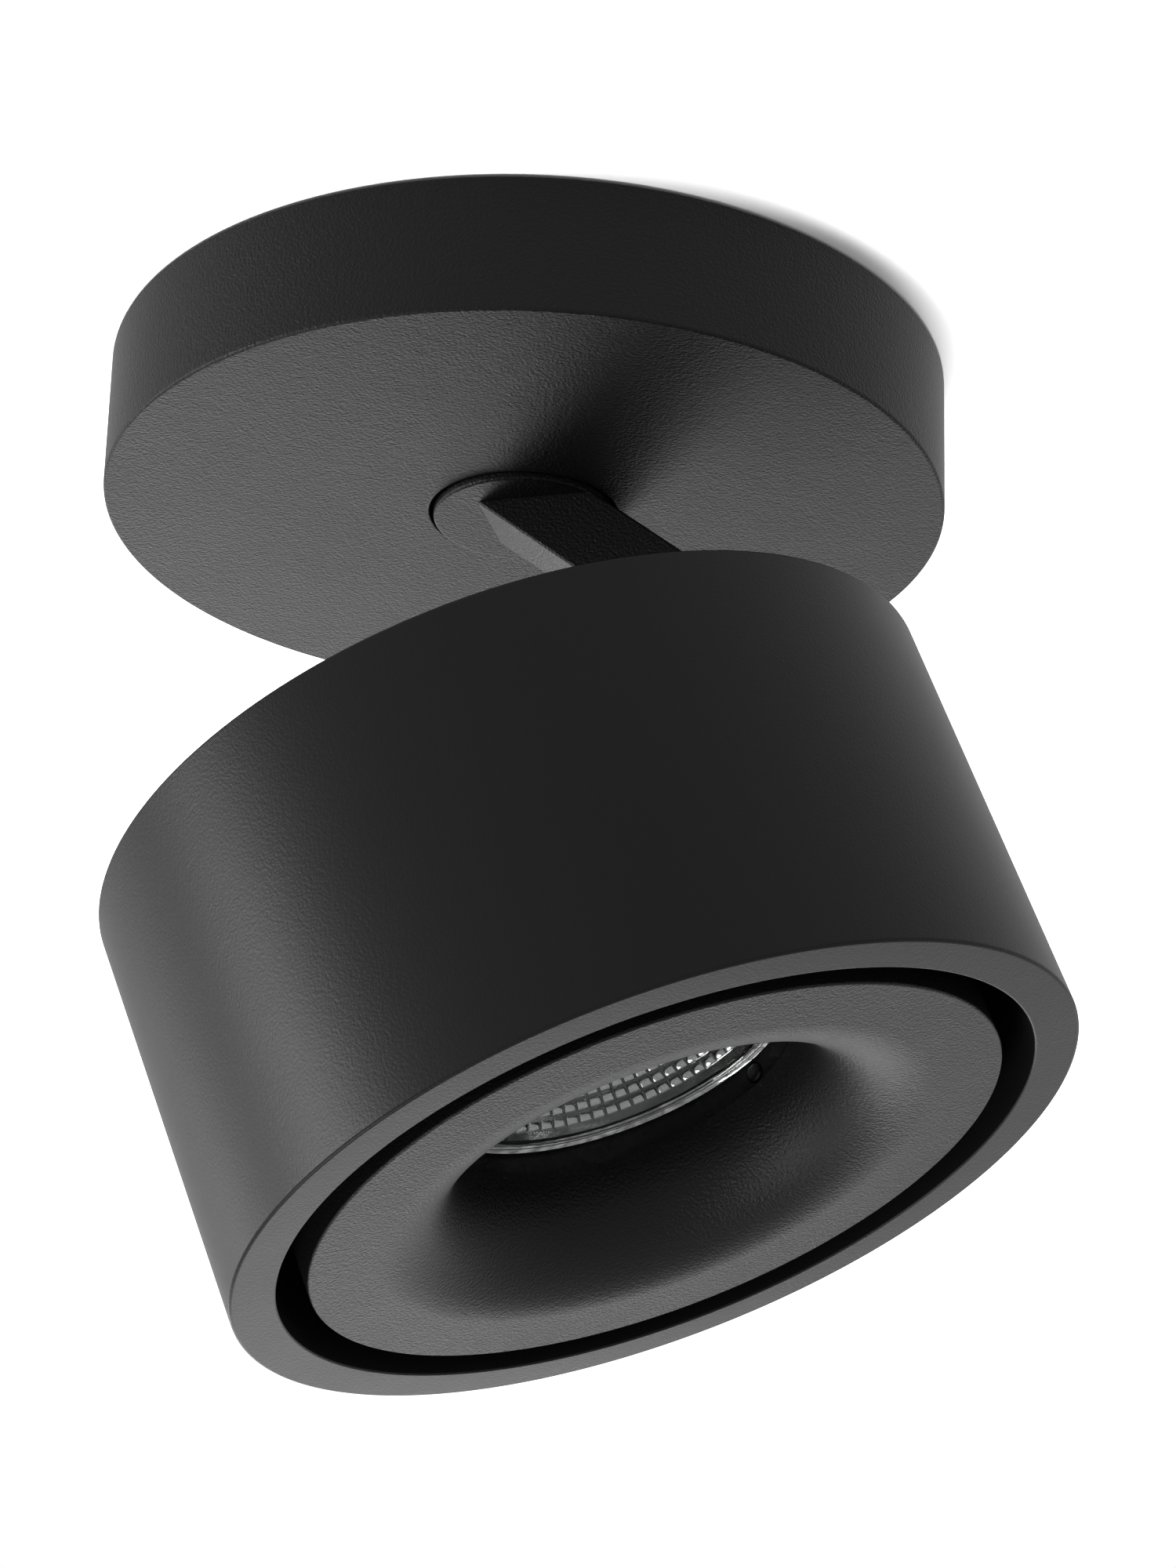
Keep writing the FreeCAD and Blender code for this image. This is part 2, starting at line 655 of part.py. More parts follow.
def swivel_arm():
    """One casting: the disc, the hollow shank above it, and the leaning bar with its rounded end."""
    body = piece("swivel_arm")
    turned(body, [
        ("0", "-shank_top"),
        ("shank_radius", "-shank_top"),
        ("shank_radius", DISC_TOP),
        ("swivel_disc_radius", DISC_TOP),
        ("swivel_disc_radius", f"swivel_disc_edge - {DISC_FACE}"),
        ("swivel_disc_radius - swivel_disc_edge", f"-{DISC_FACE}"),
        ("0", f"-{DISC_FACE}"),
    ])
    embed = "swivel_disc_thickness / 2"
    root = f"(arm_root - {embed} / tan(arm_lean))"
    foot = "(arm_thickness / (2 * sin(arm_lean)))"
    level = f"{embed} - canopy_height"
    off_x, off_z = "arm_thickness / 2 * sin(arm_lean)", "arm_thickness / 2 * cos(arm_lean)"
    pressed(body, [
        (f"{root} - {foot}", level),
        (f"{HINGE_X} - {off_x}", f"{HINGE_Z} - {off_z}"),
        (f"{HINGE_X} + {off_x}", f"{HINGE_Z} + {off_z}"),
        (f"{root} + {foot}", level),
    ], "arm_width")
    half = "arm_width / 2"
    lying(body, "arm_thickness / 2", "arm_width", HINGE_X, f"-{half}", HINGE_Z, turn="90")
    flat = (f"{BOSS_TOP}", "overrun - shank_top")
    block(body, ("shank_flat", "shank_radius + overrun"), ("-shank_radius", "shank_radius"), flat, cut=True)
    meet = "(arm_root * tan(arm_lean) - canopy_height)"
    upright(body, "lead_bore", meet, "overrun - shank_top", cut=True)
    bore = solid(body, "Cylinder", cut=True)
    bind(bore, Radius="lead_bore", Height=f"{HINGE_X} / cos(arm_lean) + arm_thickness")
    place(bore, z=meet, pitch="90 + arm_lean")
    elbow = solid(body, "Sphere", cut=True)
    bind(elbow, Radius="lead_bore")
    place(elbow, z=meet)
    for side, turn in ((-1, "90"), (1, "-90")):
        lying(body, "hinge_thread_radius", "hinge_thread_length + overrun", HINGE_X,
              f"{side} * ({half} + overrun)", HINGE_Z, turn=turn, cut=True)


def keyed_washer():
    """A washer that a flat on the shank turns, with the lug that meets the stop pin."""
    body = piece("keyed_washer")
    level = (BOSS_TOP, WASHER_TOP)
    clear = (f"{BOSS_TOP} - overrun", f"{WASHER_TOP} + overrun")
    upright(body, "keyed_washer_radius", *level)
    half = "stop_lug_width / 2"
    block(body, ("-stop_lug_reach", "-shank_radius - overrun"), (f"-{half}", half), level)
    upright(body, "shank_radius + running_clearance", *clear, cut=True)
    block(body, ("shank_flat + running_clearance", "shank_radius + overrun"), ("-shank_radius", "shank_radius"),
          level)


def swivel_spring():
    """A dished spring washer that keeps the swivel stiff to turn."""
    low, rise = WASHER_TOP, "swivel_spring_rise"
    inner = "shank_radius + clearance"
    turned(piece("swivel_spring"), [
        (inner, f"{low} + {rise}"),
        ("keyed_washer_radius", low),
        ("keyed_washer_radius", f"{low} + swivel_spring_thickness"),
        (inner, f"{low} + {rise} + swivel_spring_thickness"),
    ])


def swivel_nut():
    """The flat nut that holds the swivel in the canopy."""
    body = piece("swivel_nut")
    nut = solid(body, "Prism")
    nut.Polygon = 6
    bind(nut, Circumradius="swivel_nut_across / (2 * cos(30))", Height="swivel_nut_height")
    place(nut, z=NUT_LOW)
    upright(body, "shank_radius + running_clearance", f"{NUT_LOW} - overrun",
            f"{NUT_LOW} + swivel_nut_height + overrun", cut=True)


def hinge_screws():
    """Two shoulder screws, one from each side, that leave the middle of the arm free for the cord."""
    body = piece("hinge_screws")
    start = "(arm_width / 2)"
    reach = f"({HINGE_HEAD} + hinge_head_height)"
    for side, turn in ((-1, "-90"), (1, "90")):
        at = (HINGE_X, f"{side} * {start}", HINGE_Z)
        lying(body, "hinge_shoulder_radius", f"{reach} - {start}", *at, turn=turn)
        lying(body, "hinge_thread_radius", f"hinge_thread_length + {reach} - {start}", HINGE_X,
              f"{side} * ({start} - hinge_thread_length)", HINGE_Z, turn=turn)
        lying(body, "hinge_head_radius", "hinge_head_height", HINGE_X, f"{side} * {HINGE_HEAD}", HINGE_Z,
              turn=turn)
        socket = solid(body, "Prism", cut=True)
        bind(socket, Circumradius="hinge_socket_radius", Height="hinge_socket_depth + overrun")
        place(socket, HINGE_X, f"{side} * ({reach} - hinge_socket_depth)", HINGE_Z, turn=turn, pitch="90")


def friction_washers():
    """Two flat washers between the arm and the ears of the hinge bracket."""
    body = piece("friction_washers")
    for side, turn in ((-1, "-90"), (1, "90")):
        at = (HINGE_X, f"{side} * arm_width / 2", HINGE_Z)
        lying(body, "friction_washer_radius", "friction_washer_thickness", *at, turn=turn)
        lying(body, "hinge_shoulder_radius + running_clearance", "friction_washer_thickness + overrun", *at,
              turn=turn, cut=True)


def hinge_springs():
    """Two dished spring washers under the shoulder screws' heads, which keep the tilt stiff."""
    body = piece("hinge_springs")
    for side, turn in ((-1, "-90"), (1, "90")):
        at = (HINGE_X, f"{side} * {EAR_OUT}", HINGE_Z)
        cone = solid(body, "Cone")
        bind(cone, Radius1="hinge_spring_radius", Radius2="hinge_shoulder_radius + hinge_spring_thickness",
             Height="hinge_spring_rise + hinge_spring_thickness")
        place(cone, *at, turn=turn, pitch="90")
        lying(body, "hinge_shoulder_radius + running_clearance", "hinge_shoulder_radius", *at, turn=turn, cut=True)


# Head


def head_housing():
    """The round cup of the head, with the slot that the arm passes through and three screw bosses."""
    body = piece("head_housing", on_head=True)
    turned(body, [
        ("0", "0"),
        ("0", "-head_back"),
        (HEAD_INSIDE, "-head_back"),
        (HEAD_INSIDE, "-head_length"),
        ("head_radius - head_edge", "-head_length", "head_edge", "left"),
        ("head_radius", "head_edge - head_length"),
        ("head_radius", "-head_edge", "head_edge", "left"),
        ("head_radius - head_edge", "0"),
    ])
    for x, y, _ in spread("sink_screw_circle", "90"):
        upright(body, "sink_boss_radius", "-sink_ring_back", "-head_back", x, y)
        upright(body, "small_screw_radius", "-sink_ring_back - overrun", "-sink_ring_back + sink_boss_radius",
                x, y, cut=True)
    steep = "(180 - arm_lean - largest_tilt)"
    outer = f"{HINGE_X} + hinge_depth / tan({steep}) + arm_thickness / (2 * sin({steep})) + slot_clearance"
    half = "(arm_width / 2 + slot_clearance)"
    block(body, (SLOT_INNER, outer), (f"-{half}", half), ("-slot_depth", "overrun"), cut=True)
    for side in SIDES:
        for x in ("bracket_screw_place", "(bracket_plate_start + small_head_radius)"):
            y = f"{side} * ({EAR_OUT} + bracket_plate_half_width) / 2"
            upright(body, "small_screw_radius", "-head_back - overrun", "-head_back / 4", x, y, cut=True)


def hinge_bracket():
    """A bent steel plate screwed behind the slot, with an ear on each side of the arm."""
    body = piece("hinge_bracket", on_head=True)
    low = "(-head_back - ear_thickness)"
    half = "bracket_plate_half_width"
    block(body, ("bracket_plate_start", "bracket_plate_end"), (f"-{half}", half), (low, "-head_back"))
    for side, turn in ((-1, "-90"), (1, "90")):
        sides = (f"{side} * {EAR_IN}", f"{side} * {EAR_OUT}")
        block(body, ("ear_start", HINGE_X), sides, ("-hinge_depth - ear_radius", "-head_back"))
        lying(body, "ear_radius", "ear_thickness", HINGE_X, sides[0], "-hinge_depth", turn=turn)
    block(body, (SLOT_INNER, "head_radius"), (f"-{EAR_IN}", EAR_IN), (f"{low} - overrun", "0"), cut=True)
    lying(body, "hinge_shoulder_radius + running_clearance", f"2 * ({EAR_OUT} + overrun)", HINGE_X,
          f"-{EAR_OUT} - overrun", "-hinge_depth", turn="90", cut=True)
    for side in SIDES:
        for x in ("bracket_screw_place", "(bracket_plate_start + small_head_radius)"):
            y = f"{side} * ({EAR_OUT} + bracket_plate_half_width) / 2"
            upright(body, "small_screw_radius + running_clearance", f"{low} - overrun", "0", x, y, cut=True)


def bracket_screws():
    """Four screws that hold the hinge bracket to the housing's back."""
    body = piece("bracket_screws", on_head=True)
    seat = "(-head_back - ear_thickness)"
    for side in SIDES:
        for x in ("bracket_screw_place", "(bracket_plate_start + small_head_radius)"):
            y = f"{side} * ({EAR_OUT} + bracket_plate_half_width) / 2"
            screw(body, x, y, seat, -1, "small_screw_radius", "small_head_radius", "small_head_height",
                  "(ear_thickness + head_back / 2)")


def heat_sink():
    """A dished casting: a ring on the housing's bosses, a raised core with fins, and the light source's seat."""
    body = piece("heat_sink", on_head=True)
    edge = f"{HEAD_INSIDE} - clearance"
    turned(body, [
        ("0", "-sink_top"),
        ("0", "-led_seat"),
        ("sink_hollow_radius", "-led_seat"),
        ("sink_hollow_radius", "-sink_front"),
        (edge, "-sink_front"),
        (edge, "-sink_ring_back"),
        ("sink_core_radius", "-sink_ring_back"),
        ("sink_core_radius", "-sink_top"),
    ])
    for fin in range(SIZES["fin_count"]):
        middle = f"({fin} - (fin_count - 1) / 2) * fin_pitch"
        sides = [f"{middle} + {side} * fin_thickness / 2" for side in SIDES]
        block(body, ("-fin_start", "fin_end"), sides, ("-sink_top", "-fin_top"))
    for x, y, _ in spread("sink_screw_circle", "90"):
        upright(body, "small_screw_radius + running_clearance", "-sink_front - overrun",
                "-sink_ring_back + overrun", x, y, cut=True)
    for x, y, _ in spread("barrel_screw_circle", "180"):
        upright(body, "small_screw_radius", "-sink_front - overrun", "-sink_front + 2 * small_screw_depth", x, y,
                cut=True)
    for side in SIDES:
        upright(body, "small_screw_radius", "-led_seat - overrun", "-led_seat + small_screw_depth", "0",
                f"{side} * holder_screw_place", cut=True)
    lying(body, "cord_radius + clearance", "sink_core_radius", "holder_radius", "0", "-cord_level", cut=True)


def sink_screws():
    """Three screws through the clips' feet and the heat sink's ring into the housing's bosses."""
    body = piece("sink_screws", on_head=True)
    for x, y, _ in spread("sink_screw_circle", "90"):
        screw(body, x, y, "(-sink_front - clip_thickness)", -1, "small_screw_radius", "small_head_radius",
              "small_head_height", "(sink_front + clip_thickness - sink_ring_back + small_screw_depth)")


def trim_clips():
    """Three leaf springs whose bumps snap into the trim's groove."""
    body = piece("trim_clips", on_head=True)
    foot, leaf, thick = "-sink_front", CLIP_LEAF, "clip_thickness"
    tip = "-groove_place - 2 * clip_bump_half"
    bump_out = f"{leaf} + clip_proud"
    blade = pressed(body, [
        ("clip_foot_start", foot),
        (leaf, foot),
        (leaf, "clip_bump_half - groove_place"),
        (bump_out, "-groove_place"),
        (leaf, "-groove_place - clip_bump_half"),
        (leaf, tip),
        (f"{leaf} - {thick}", tip),
        (f"{leaf} - {thick}", "-groove_place - clip_bump_half"),
        (f"{bump_out} - {thick}", "-groove_place"),
        (f"{leaf} - {thick}", "clip_bump_half - groove_place"),
        (f"{leaf} - {thick}", f"{foot} - {thick}"),
        ("clip_foot_start", f"{foot} - {thick}"),
    ], "clip_width")
    around(body, blade, THREE)
    for x, y, _ in spread("sink_screw_circle"):
        upright(body, "small_screw_radius + running_clearance", f"{foot} - {thick} - overrun",
                f"{foot} + overrun", x, y, cut=True)
    hang(body, "90")


def thermal_pad():
    """A thin pad between the heat sink and the board."""
    half = "board_side / 2"
    block(piece("thermal_pad", on_head=True), (f"-{half}", half), (f"-{half}", half),
          (f"-{BOARD_BACK}", "-led_seat"))


def led_board():
    """The square board of the light source."""
    half = "board_side / 2"
    block(piece("led_board", on_head=True), (f"-{half}", half), (f"-{half}", half),
          (f"-{BOARD_FRONT}", f"-{BOARD_BACK}"))


def led_emitter():
    """The round light-giving face on the board."""
    upright(piece("led_emitter", on_head=True), "emitter_radius", f"-{BOARD_FRONT} - emitter_thickness",
            f"-{BOARD_FRONT}")


def led_holder():
    """A round holder that presses the board down, open over the light-giving face."""
    body = piece("led_holder", on_head=True)
    upright(body, "holder_radius", "-holder_front", "-led_seat")
    half = "(board_side / 2 + clearance)"
    block(body, (f"-{half}", half), (f"-{half}", half), (f"-{BOARD_FRONT}", "overrun - led_seat"), cut=True)
    taper(body, "holder_mouth", "holder_opening", "-holder_front", f"-{BOARD_FRONT}", cut=True)
    for side in SIDES:
        at = ("0", f"{side} * holder_screw_place")
        upright(body, "small_screw_radius + running_clearance", "-holder_front - overrun", "overrun - led_seat",
                *at, cut=True)
        upright(body, "small_head_radius + clearance", "-holder_front - overrun",
                "small_head_height - holder_front", *at, cut=True)


def holder_screws():
    """Two screws sunk into the holder's face."""
    body = piece("holder_screws", on_head=True)
    seat = "(small_head_height - holder_front)"
    for side in SIDES:
        screw(body, "0", f"{side} * holder_screw_place", seat, -1, "small_screw_radius", "small_head_radius",
              "small_head_height", "(holder_front - small_head_height - led_seat + small_screw_depth / 2)")


def reflector():
    """A bowl whose inside is rows of flat facets, a ruled loft through one polygon after another."""
    growth = "(reflector_exit ^ 2 - reflector_entry ^ 2)"
    rings = []
    for share in ROW_SHARES:
        ring = document.addObject("Part::RegularPolygon", "facet_ring")
        ring.Polygon = SIZES["reflector_facets"]
        bind(ring, Circumradius=f"sqrt(reflector_entry ^ 2 + {growth} * {share})")
        place(ring, z=f"-holder_front - {REFLECTOR_DEPTH} * {share}")
        rings.append(ring)
    hollow = document.addObject("Part::Loft", "facet_hollow")
    hollow.Sections = rings
    hollow.Solid = True
    hollow.Ruled = True
    shell = document.addObject("Part::Cone", "reflector_shell")
    bind(shell, Radius1="reflector_exit + reflector_wall", Height=REFLECTOR_DEPTH,
         Radius2="(reflector_exit + reflector_entry) / 2 + reflector_wall")
    place(shell, z=f"-holder_front - {REFLECTOR_DEPTH}")
    flange = document.addObject("Part::Cylinder", "reflector_flange")
    bind(flange, Radius="lens_radius", Height="reflector_flange")
    place(flange, z=f"-{LENS_BACK}")
    mouth = document.addObject("Part::Cylinder", "reflector_mouth")
    bind(mouth, Radius="reflector_exit", Height="reflector_flange")
    place(mouth, z=f"-{LENS_BACK}")
    solids = document.addObject("Part::MultiFuse", "reflector_solid")
    solids.Shapes = [shell, flange]
    hollows = document.addObject("Part::MultiFuse", "reflector_hollow")
    hollows.Shapes = [hollow, mouth]
    bowl = document.addObject("Part::Cut", "reflector")
    bowl.Label = "reflector"
    bowl.Base = solids
    bowl.Tool = hollows
    hang(bowl)
    pieces.append(bowl)


def lens():
    """The clear cover, with a narrow raised rim round its front."""
    turned(piece("lens", on_head=True), [
        ("0", f"-{LENS_BACK}"),
        ("0", f"lens_rim_step - {LENS_FRONT}"),
        ("reflector_exit - lens_rim_step", f"lens_rim_step - {LENS_FRONT}"),
        ("reflector_exit", f"-{LENS_FRONT}"),
        ("lens_radius", f"-{LENS_FRONT}"),
        ("lens_radius", f"-{LENS_BACK}"),
    ])


def optic_barrel():
    """The dark tube round the reflector, on a screwed foot, with three radial holes for the retainers."""
    body = piece("optic_barrel", on_head=True)
    outer = "(barrel_bore + barrel_wall)"
    foot = "(sink_front + barrel_foot_thickness)"
    turned(body, [
        ("barrel_bore", "-sink_front"),
        ("barrel_bore", f"-{BARREL_FRONT}"),
        (outer, f"-{BARREL_FRONT}"),
        (outer, f"-{foot}"),
        ("barrel_foot_radius", f"-{foot}"),
        ("barrel_foot_radius", "-sink_front"),
    ])
    for x, y, _ in spread("barrel_screw_circle", "180"):
        upright(body, "small_screw_radius + running_clearance", f"-{foot} - overrun", "overrun - sink_front",
                x, y, cut=True)
    for x, y, angle in spread("barrel_bore - overrun", "retainer_angle"):
        lying(body, "retainer_radius + running_clearance", "barrel_wall + 2 * overrun", x, y,
              f"-{RETAINER_DEPTH}", turn=angle, cut=True)


def barrel_screws():
    """Three screws that hold the barrel's foot."""
    body = piece("barrel_screws", on_head=True)
    for x, y, _ in spread("barrel_screw_circle", "180"):
        screw(body, x, y, "(-sink_front - barrel_foot_thickness)", -1, "small_screw_radius", "small_head_radius",
              "small_head_height", "(barrel_foot_thickness + small_screw_depth)")


def lens_retainers():
    """Three round pins whose rounded tips stand into the bore under the lens's rim."""
    body = piece("lens_retainers", on_head=True)
    for x, y, angle in spread("barrel_bore - retainer_proud", "retainer_angle"):
        lying(body, "retainer_radius", "retainer_proud + barrel_wall", x, y, f"-{RETAINER_DEPTH}", turn=angle)


def trim_ring():
    """The flared trim: a drum with a flat face that rolls over a quarter circle into the throat."""
    body = piece("trim_ring", on_head=True)
    roll = f"throat_radius + {FLARE_RADIUS}"
    turned(body, [
        (TRIM_RADIUS, "-sink_front"),
        (TRIM_RADIUS, f"{TRIM_FACE} + trim_edge"),
        (f"{TRIM_RADIUS} - trim_edge", TRIM_FACE),
        (roll, TRIM_FACE, FLARE_RADIUS, "right"),
        ("throat_radius", f"{TRIM_FACE} + {FLARE_RADIUS}"),
        ("throat_radius + trim_wall", f"{TRIM_FACE} + {FLARE_RADIUS}", f"{FLARE_RADIUS} - trim_wall", "left"),
        (roll, f"{TRIM_FACE} + trim_wall"),
        (SKIRT_INSIDE, f"{TRIM_FACE} + trim_wall"),
        (SKIRT_INSIDE, "-sink_front"),
    ])
    turned(body, [
        (f"{SKIRT_INSIDE} - overrun", "groove_half_width - groove_place"),
        (f"{SKIRT_INSIDE} + groove_depth", "groove_half_width - groove_place"),
        (f"{SKIRT_INSIDE} + groove_depth", "-groove_half_width - groove_place"),
        (f"{SKIRT_INSIDE} - overrun", "-groove_half_width - groove_place"),
    ], cut=True)


# Leads, each a round bar along straight runs joined by tangent arcs


def lead(points, radius):
    """One lead through points given as expressions. Each bend is as large as its two runs allow."""
    route = [Vector(*(number(text) for text in point)) for point in points]
    edges, start = [], route[0]
    for before, corner, after in zip(route, route[1:], route[2:]):
        back, ahead = before - corner, after - corner
        half_turn = (math.pi - back.getAngle(ahead)) / 2
        bend = SIZES["bend_share"] * min(back.Length, ahead.Length) / math.tan(half_turn)
        reach = bend * math.tan(half_turn)
        first, last = corner + back.normalize() * reach, corner + ahead.normalize() * reach
        inward = (back + ahead).normalize()
        middle = corner + inward * (bend / math.cos(half_turn) - bend)
        edges += [Part.LineSegment(start, first).toShape(), Part.Arc(first, middle, last).toShape()]
        start = last
    edges.append(Part.LineSegment(start, route[-1]).toShape())
    path = Part.Wire(edges)
    ring = Part.Wire(Part.makeCircle(number(radius), route[0], route[1] - route[0]))
    return path.makePipeShell([ring], True, False)


def lead_piece(label, solids):
    """A piece made of one or more leads."""
    feature = document.addObject("Part::Feature", label)
    feature.Label = label
    feature.Shape = solids[0] if len(solids) == 1 else Part.makeCompound(solids)
    pieces.append(feature)


def leads():
    """The leads that the lamp holds all the way along their route."""
    block_face = "terminal_width / 2 - terminal_place"
    inside = f"{block_face} - lead_stub"
    turn_in = f"{block_face} + lead_stub"
    lane, next_lane = "-lead_lane", "-lead_lane - lead_spacing"
    neutral = [("0", inside, LEADS), ("0", turn_in, LEADS), (lane, "-lead_lane / 2", LEADS),
               (lane, "driver_front", LEADS)]
    live = [("-terminal_pitch", inside, LEADS), ("-terminal_pitch", f"{block_face} + lead_radius", LEADS),
            (next_lane, "-lead_lane / 2", LEADS), (next_lane, "driver_front", LEADS)]
    lead_piece("mains_leads", [lead(neutral, "lead_radius"), lead(live, "lead_radius")])
    barrel = "earth_place - lug_radius - lug_barrel_length"
    earth = [("terminal_pitch", inside, LEADS), ("terminal_pitch", turn_in, LEADS),
             (f"{barrel} - lead_stub", "-earth_side", LEADS), (barrel, "-earth_side", LEADS)]
    lead_piece("earth_lead", [lead(earth, "lead_radius")])
    supply = [("cord_driver_place", "driver_front", "-cord_driver_drop"),
              ("cord_driver_place", "driver_front - lead_level", "-cord_driver_drop"),
              ("0", "0", "-cord_rise"), ("0", "0", "-cord_join")]
    lead_piece("driver_cord", [lead(supply, "cord_radius")])
    meet = "arm_root * tan(arm_lean) - canopy_height"
    down_arm = [("0", "0", "-cord_join"), ("0", "0", meet), (HINGE_X, "0", HINGE_Z)]
    lead_piece("arm_cord", [lead(down_arm, "cord_radius")])
    body = piece("head_cord", on_head=True)
    lying(body, "cord_radius", "cord_start - holder_radius", "holder_radius", "0", "-cord_level")


for make in (mounting_bracket, bracket_grommet, canopy, lock_screw, stop_pin, slide_ring, terminal_block,
             terminal_screws, cable_clamp, clamp_screws, earth_lug, earth_screw, driver_case, driver_lid,
             driver_screws, swivel_arm, keyed_washer, swivel_spring, swivel_nut, hinge_screws, friction_washers,
             hinge_springs, head_housing, hinge_bracket, bracket_screws, heat_sink, sink_screws, trim_clips,
             thermal_pad, led_board, led_emitter, led_holder, holder_screws, reflector, lens, optic_barrel,
             barrel_screws, lens_retainers, trim_ring, leads):
    make()
document.recompute()

for item in document.Objects:
    if {"Invalid", "Error"} & set(item.State):
        raise RuntimeError(f"{item.Label} failed: {item.State}")
os.makedirs("parts", exist_ok=True)
for item in pieces:
    if item.Shape.isNull() or not item.Shape.isValid():
        raise RuntimeError(f"{item.Label} has no valid shape")
    print(f"{item.Label}: {len(item.Shape.Solids)} solid(s), {item.Shape.Volume:.1f} cubic mm")
for item in pieces:
    item.Shape.exportStep(f"parts/{item.Label}.step")
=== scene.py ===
"""A black ceiling spot with one head: fine shapes, finishes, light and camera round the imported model.

Everything is in metres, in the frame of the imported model: the origin is the centre of the ceiling plane,
+Z is up, the arm leans towards +X and the tilt axis runs along Y. The pieces of the head are modelled
upright, with the middle of the head's back at the origin and the depth going down, and are then hung at the
tilt they rest at.
"""

import json
import logging
import math
from collections.abc import Callable, Iterator, Sequence
from contextlib import contextmanager
from dataclasses import dataclass, field, replace
from enum import Enum
from functools import cache
from itertools import pairwise, product

import bmesh
import bpy
from mathutils import Matrix, Vector


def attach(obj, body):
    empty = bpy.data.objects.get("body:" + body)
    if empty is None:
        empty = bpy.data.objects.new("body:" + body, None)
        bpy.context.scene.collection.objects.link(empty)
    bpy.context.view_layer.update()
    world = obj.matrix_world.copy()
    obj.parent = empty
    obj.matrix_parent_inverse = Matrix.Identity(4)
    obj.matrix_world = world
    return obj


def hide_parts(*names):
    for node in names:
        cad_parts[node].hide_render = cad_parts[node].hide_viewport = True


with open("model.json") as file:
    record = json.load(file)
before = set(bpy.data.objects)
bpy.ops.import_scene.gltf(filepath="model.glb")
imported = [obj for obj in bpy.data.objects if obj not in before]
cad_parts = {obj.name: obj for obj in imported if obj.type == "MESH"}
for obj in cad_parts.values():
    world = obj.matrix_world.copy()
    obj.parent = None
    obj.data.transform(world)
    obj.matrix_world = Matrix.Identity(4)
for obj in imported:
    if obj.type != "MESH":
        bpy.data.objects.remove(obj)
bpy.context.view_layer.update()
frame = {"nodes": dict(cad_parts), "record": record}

LOG = logging.getLogger("ceiling_spot")

Piece = bpy.types.Object
Socket = bpy.types.NodeSocket
Point = tuple[float, float]
Corner = tuple[float, float, float]
Colour = tuple[float, float, float]

SEGMENTS = 192  # flats of a full round
HAIR = 1e-6  # points closer than this are one
SHARP = math.radians(38)  # from this angle on, an edge stays sharp
OVERRUN = 0.001  # how far a tool reaches past what it cuts
UP = Vector((0, 0, 1))
HINGE: Corner = (0.039583, 0.0, -0.04691)
THIRDS = (0.0, 120.0, 240.0)
TAPPED = 0.0012  # radius of a tapped hole

# Radii of rounded edges, from a crisp machined edge to the corner of a casting
CRISP, BROKEN, EASED, ROUNDED, SOFT, CAST = 0.0001, 0.00015, 0.0002, 0.0003, 0.0004, 0.0008


class Grain(Enum):
    """The fine relief of a surface."""

    ORANGE_PEEL = "orange peel"
    SPANGLE = "spangle"
    CAST = "cast"
    MOULDED = "moulded"
    DRAWN = "drawn"


# Modelling by hand: every step is an operator that acts on what is selected


def take(piece: Piece) -> None:
    """Makes a piece the only one selected, and the active one.

    Args:
        piece: the object to work on.
    """
    if bpy.context.mode != "OBJECT":
        bpy.ops.object.mode_set(mode="OBJECT")
    bpy.ops.object.select_all(action="DESELECT")
    piece.select_set(True)
    bpy.context.view_layer.objects.active = piece


@contextmanager
def editing(piece: Piece) -> Iterator[None]:
    """Opens a piece in edit mode and closes it again.

    Args:
        piece: the object whose mesh is shaped.
    """
    take(piece)
    bpy.ops.object.mode_set(mode="EDIT")
    bpy.ops.mesh.select_mode(type="VERT")
    yield
    bpy.ops.object.mode_set(mode="OBJECT")


def pick(piece: Piece, kind: str, test: Callable[[Vector, Vector], bool]) -> int:
    """Selects the faces or the edges that pass a test, in edit mode.

    Args:
        piece: the object being edited.
        kind: FACE or EDGE.
        test: takes a face's middle and normal, or an edge's two ends.

    Returns:
        How many are selected.
    """
    bpy.ops.mesh.select_mode(type=kind)
    bpy.ops.mesh.select_all(action="DESELECT")
    mesh = bmesh.from_edit_mesh(piece.data)
    if kind == "FACE":
        chosen = [face for face in mesh.faces if test(face.calc_center_median(), face.normal)]
    else:
        chosen = [edge for edge in mesh.edges if test(edge.verts[0].co, edge.verts[1].co)]
    for element in chosen:
        element.select_set(True)
    bmesh.update_edit_mesh(piece.data)
    return len(chosen)


def spoke(turn: float) -> Vector:
    """The direction at an angle round the Z axis.

    Args:
        turn: the angle in degrees, from +X towards +Y.

    Returns:
        A level vector of length 1.
    """
    return Vector((math.cos(math.radians(turn)), math.sin(math.radians(turn)), 0))


def arc(centre: Point, radius: float, start: float, end: float, steps: int) -> list[Corner]:
    """Points along a circle in an outline.

    Args:
        centre: the circle's middle, as distance from the axis and height.
        radius: the circle's radius.
        start: the first angle in degrees, from the outward direction.
        end: the last angle in degrees.
        steps: how many chords the arc has.

    Returns:
        The points, each as a corner without a fillet.
    """
    angles = (math.radians(start + (end - start) * step / steps) for step in range(steps + 1))
    return [(centre[0] + radius * math.cos(a), centre[1] + radius * math.sin(a), 0.0) for a in angles]


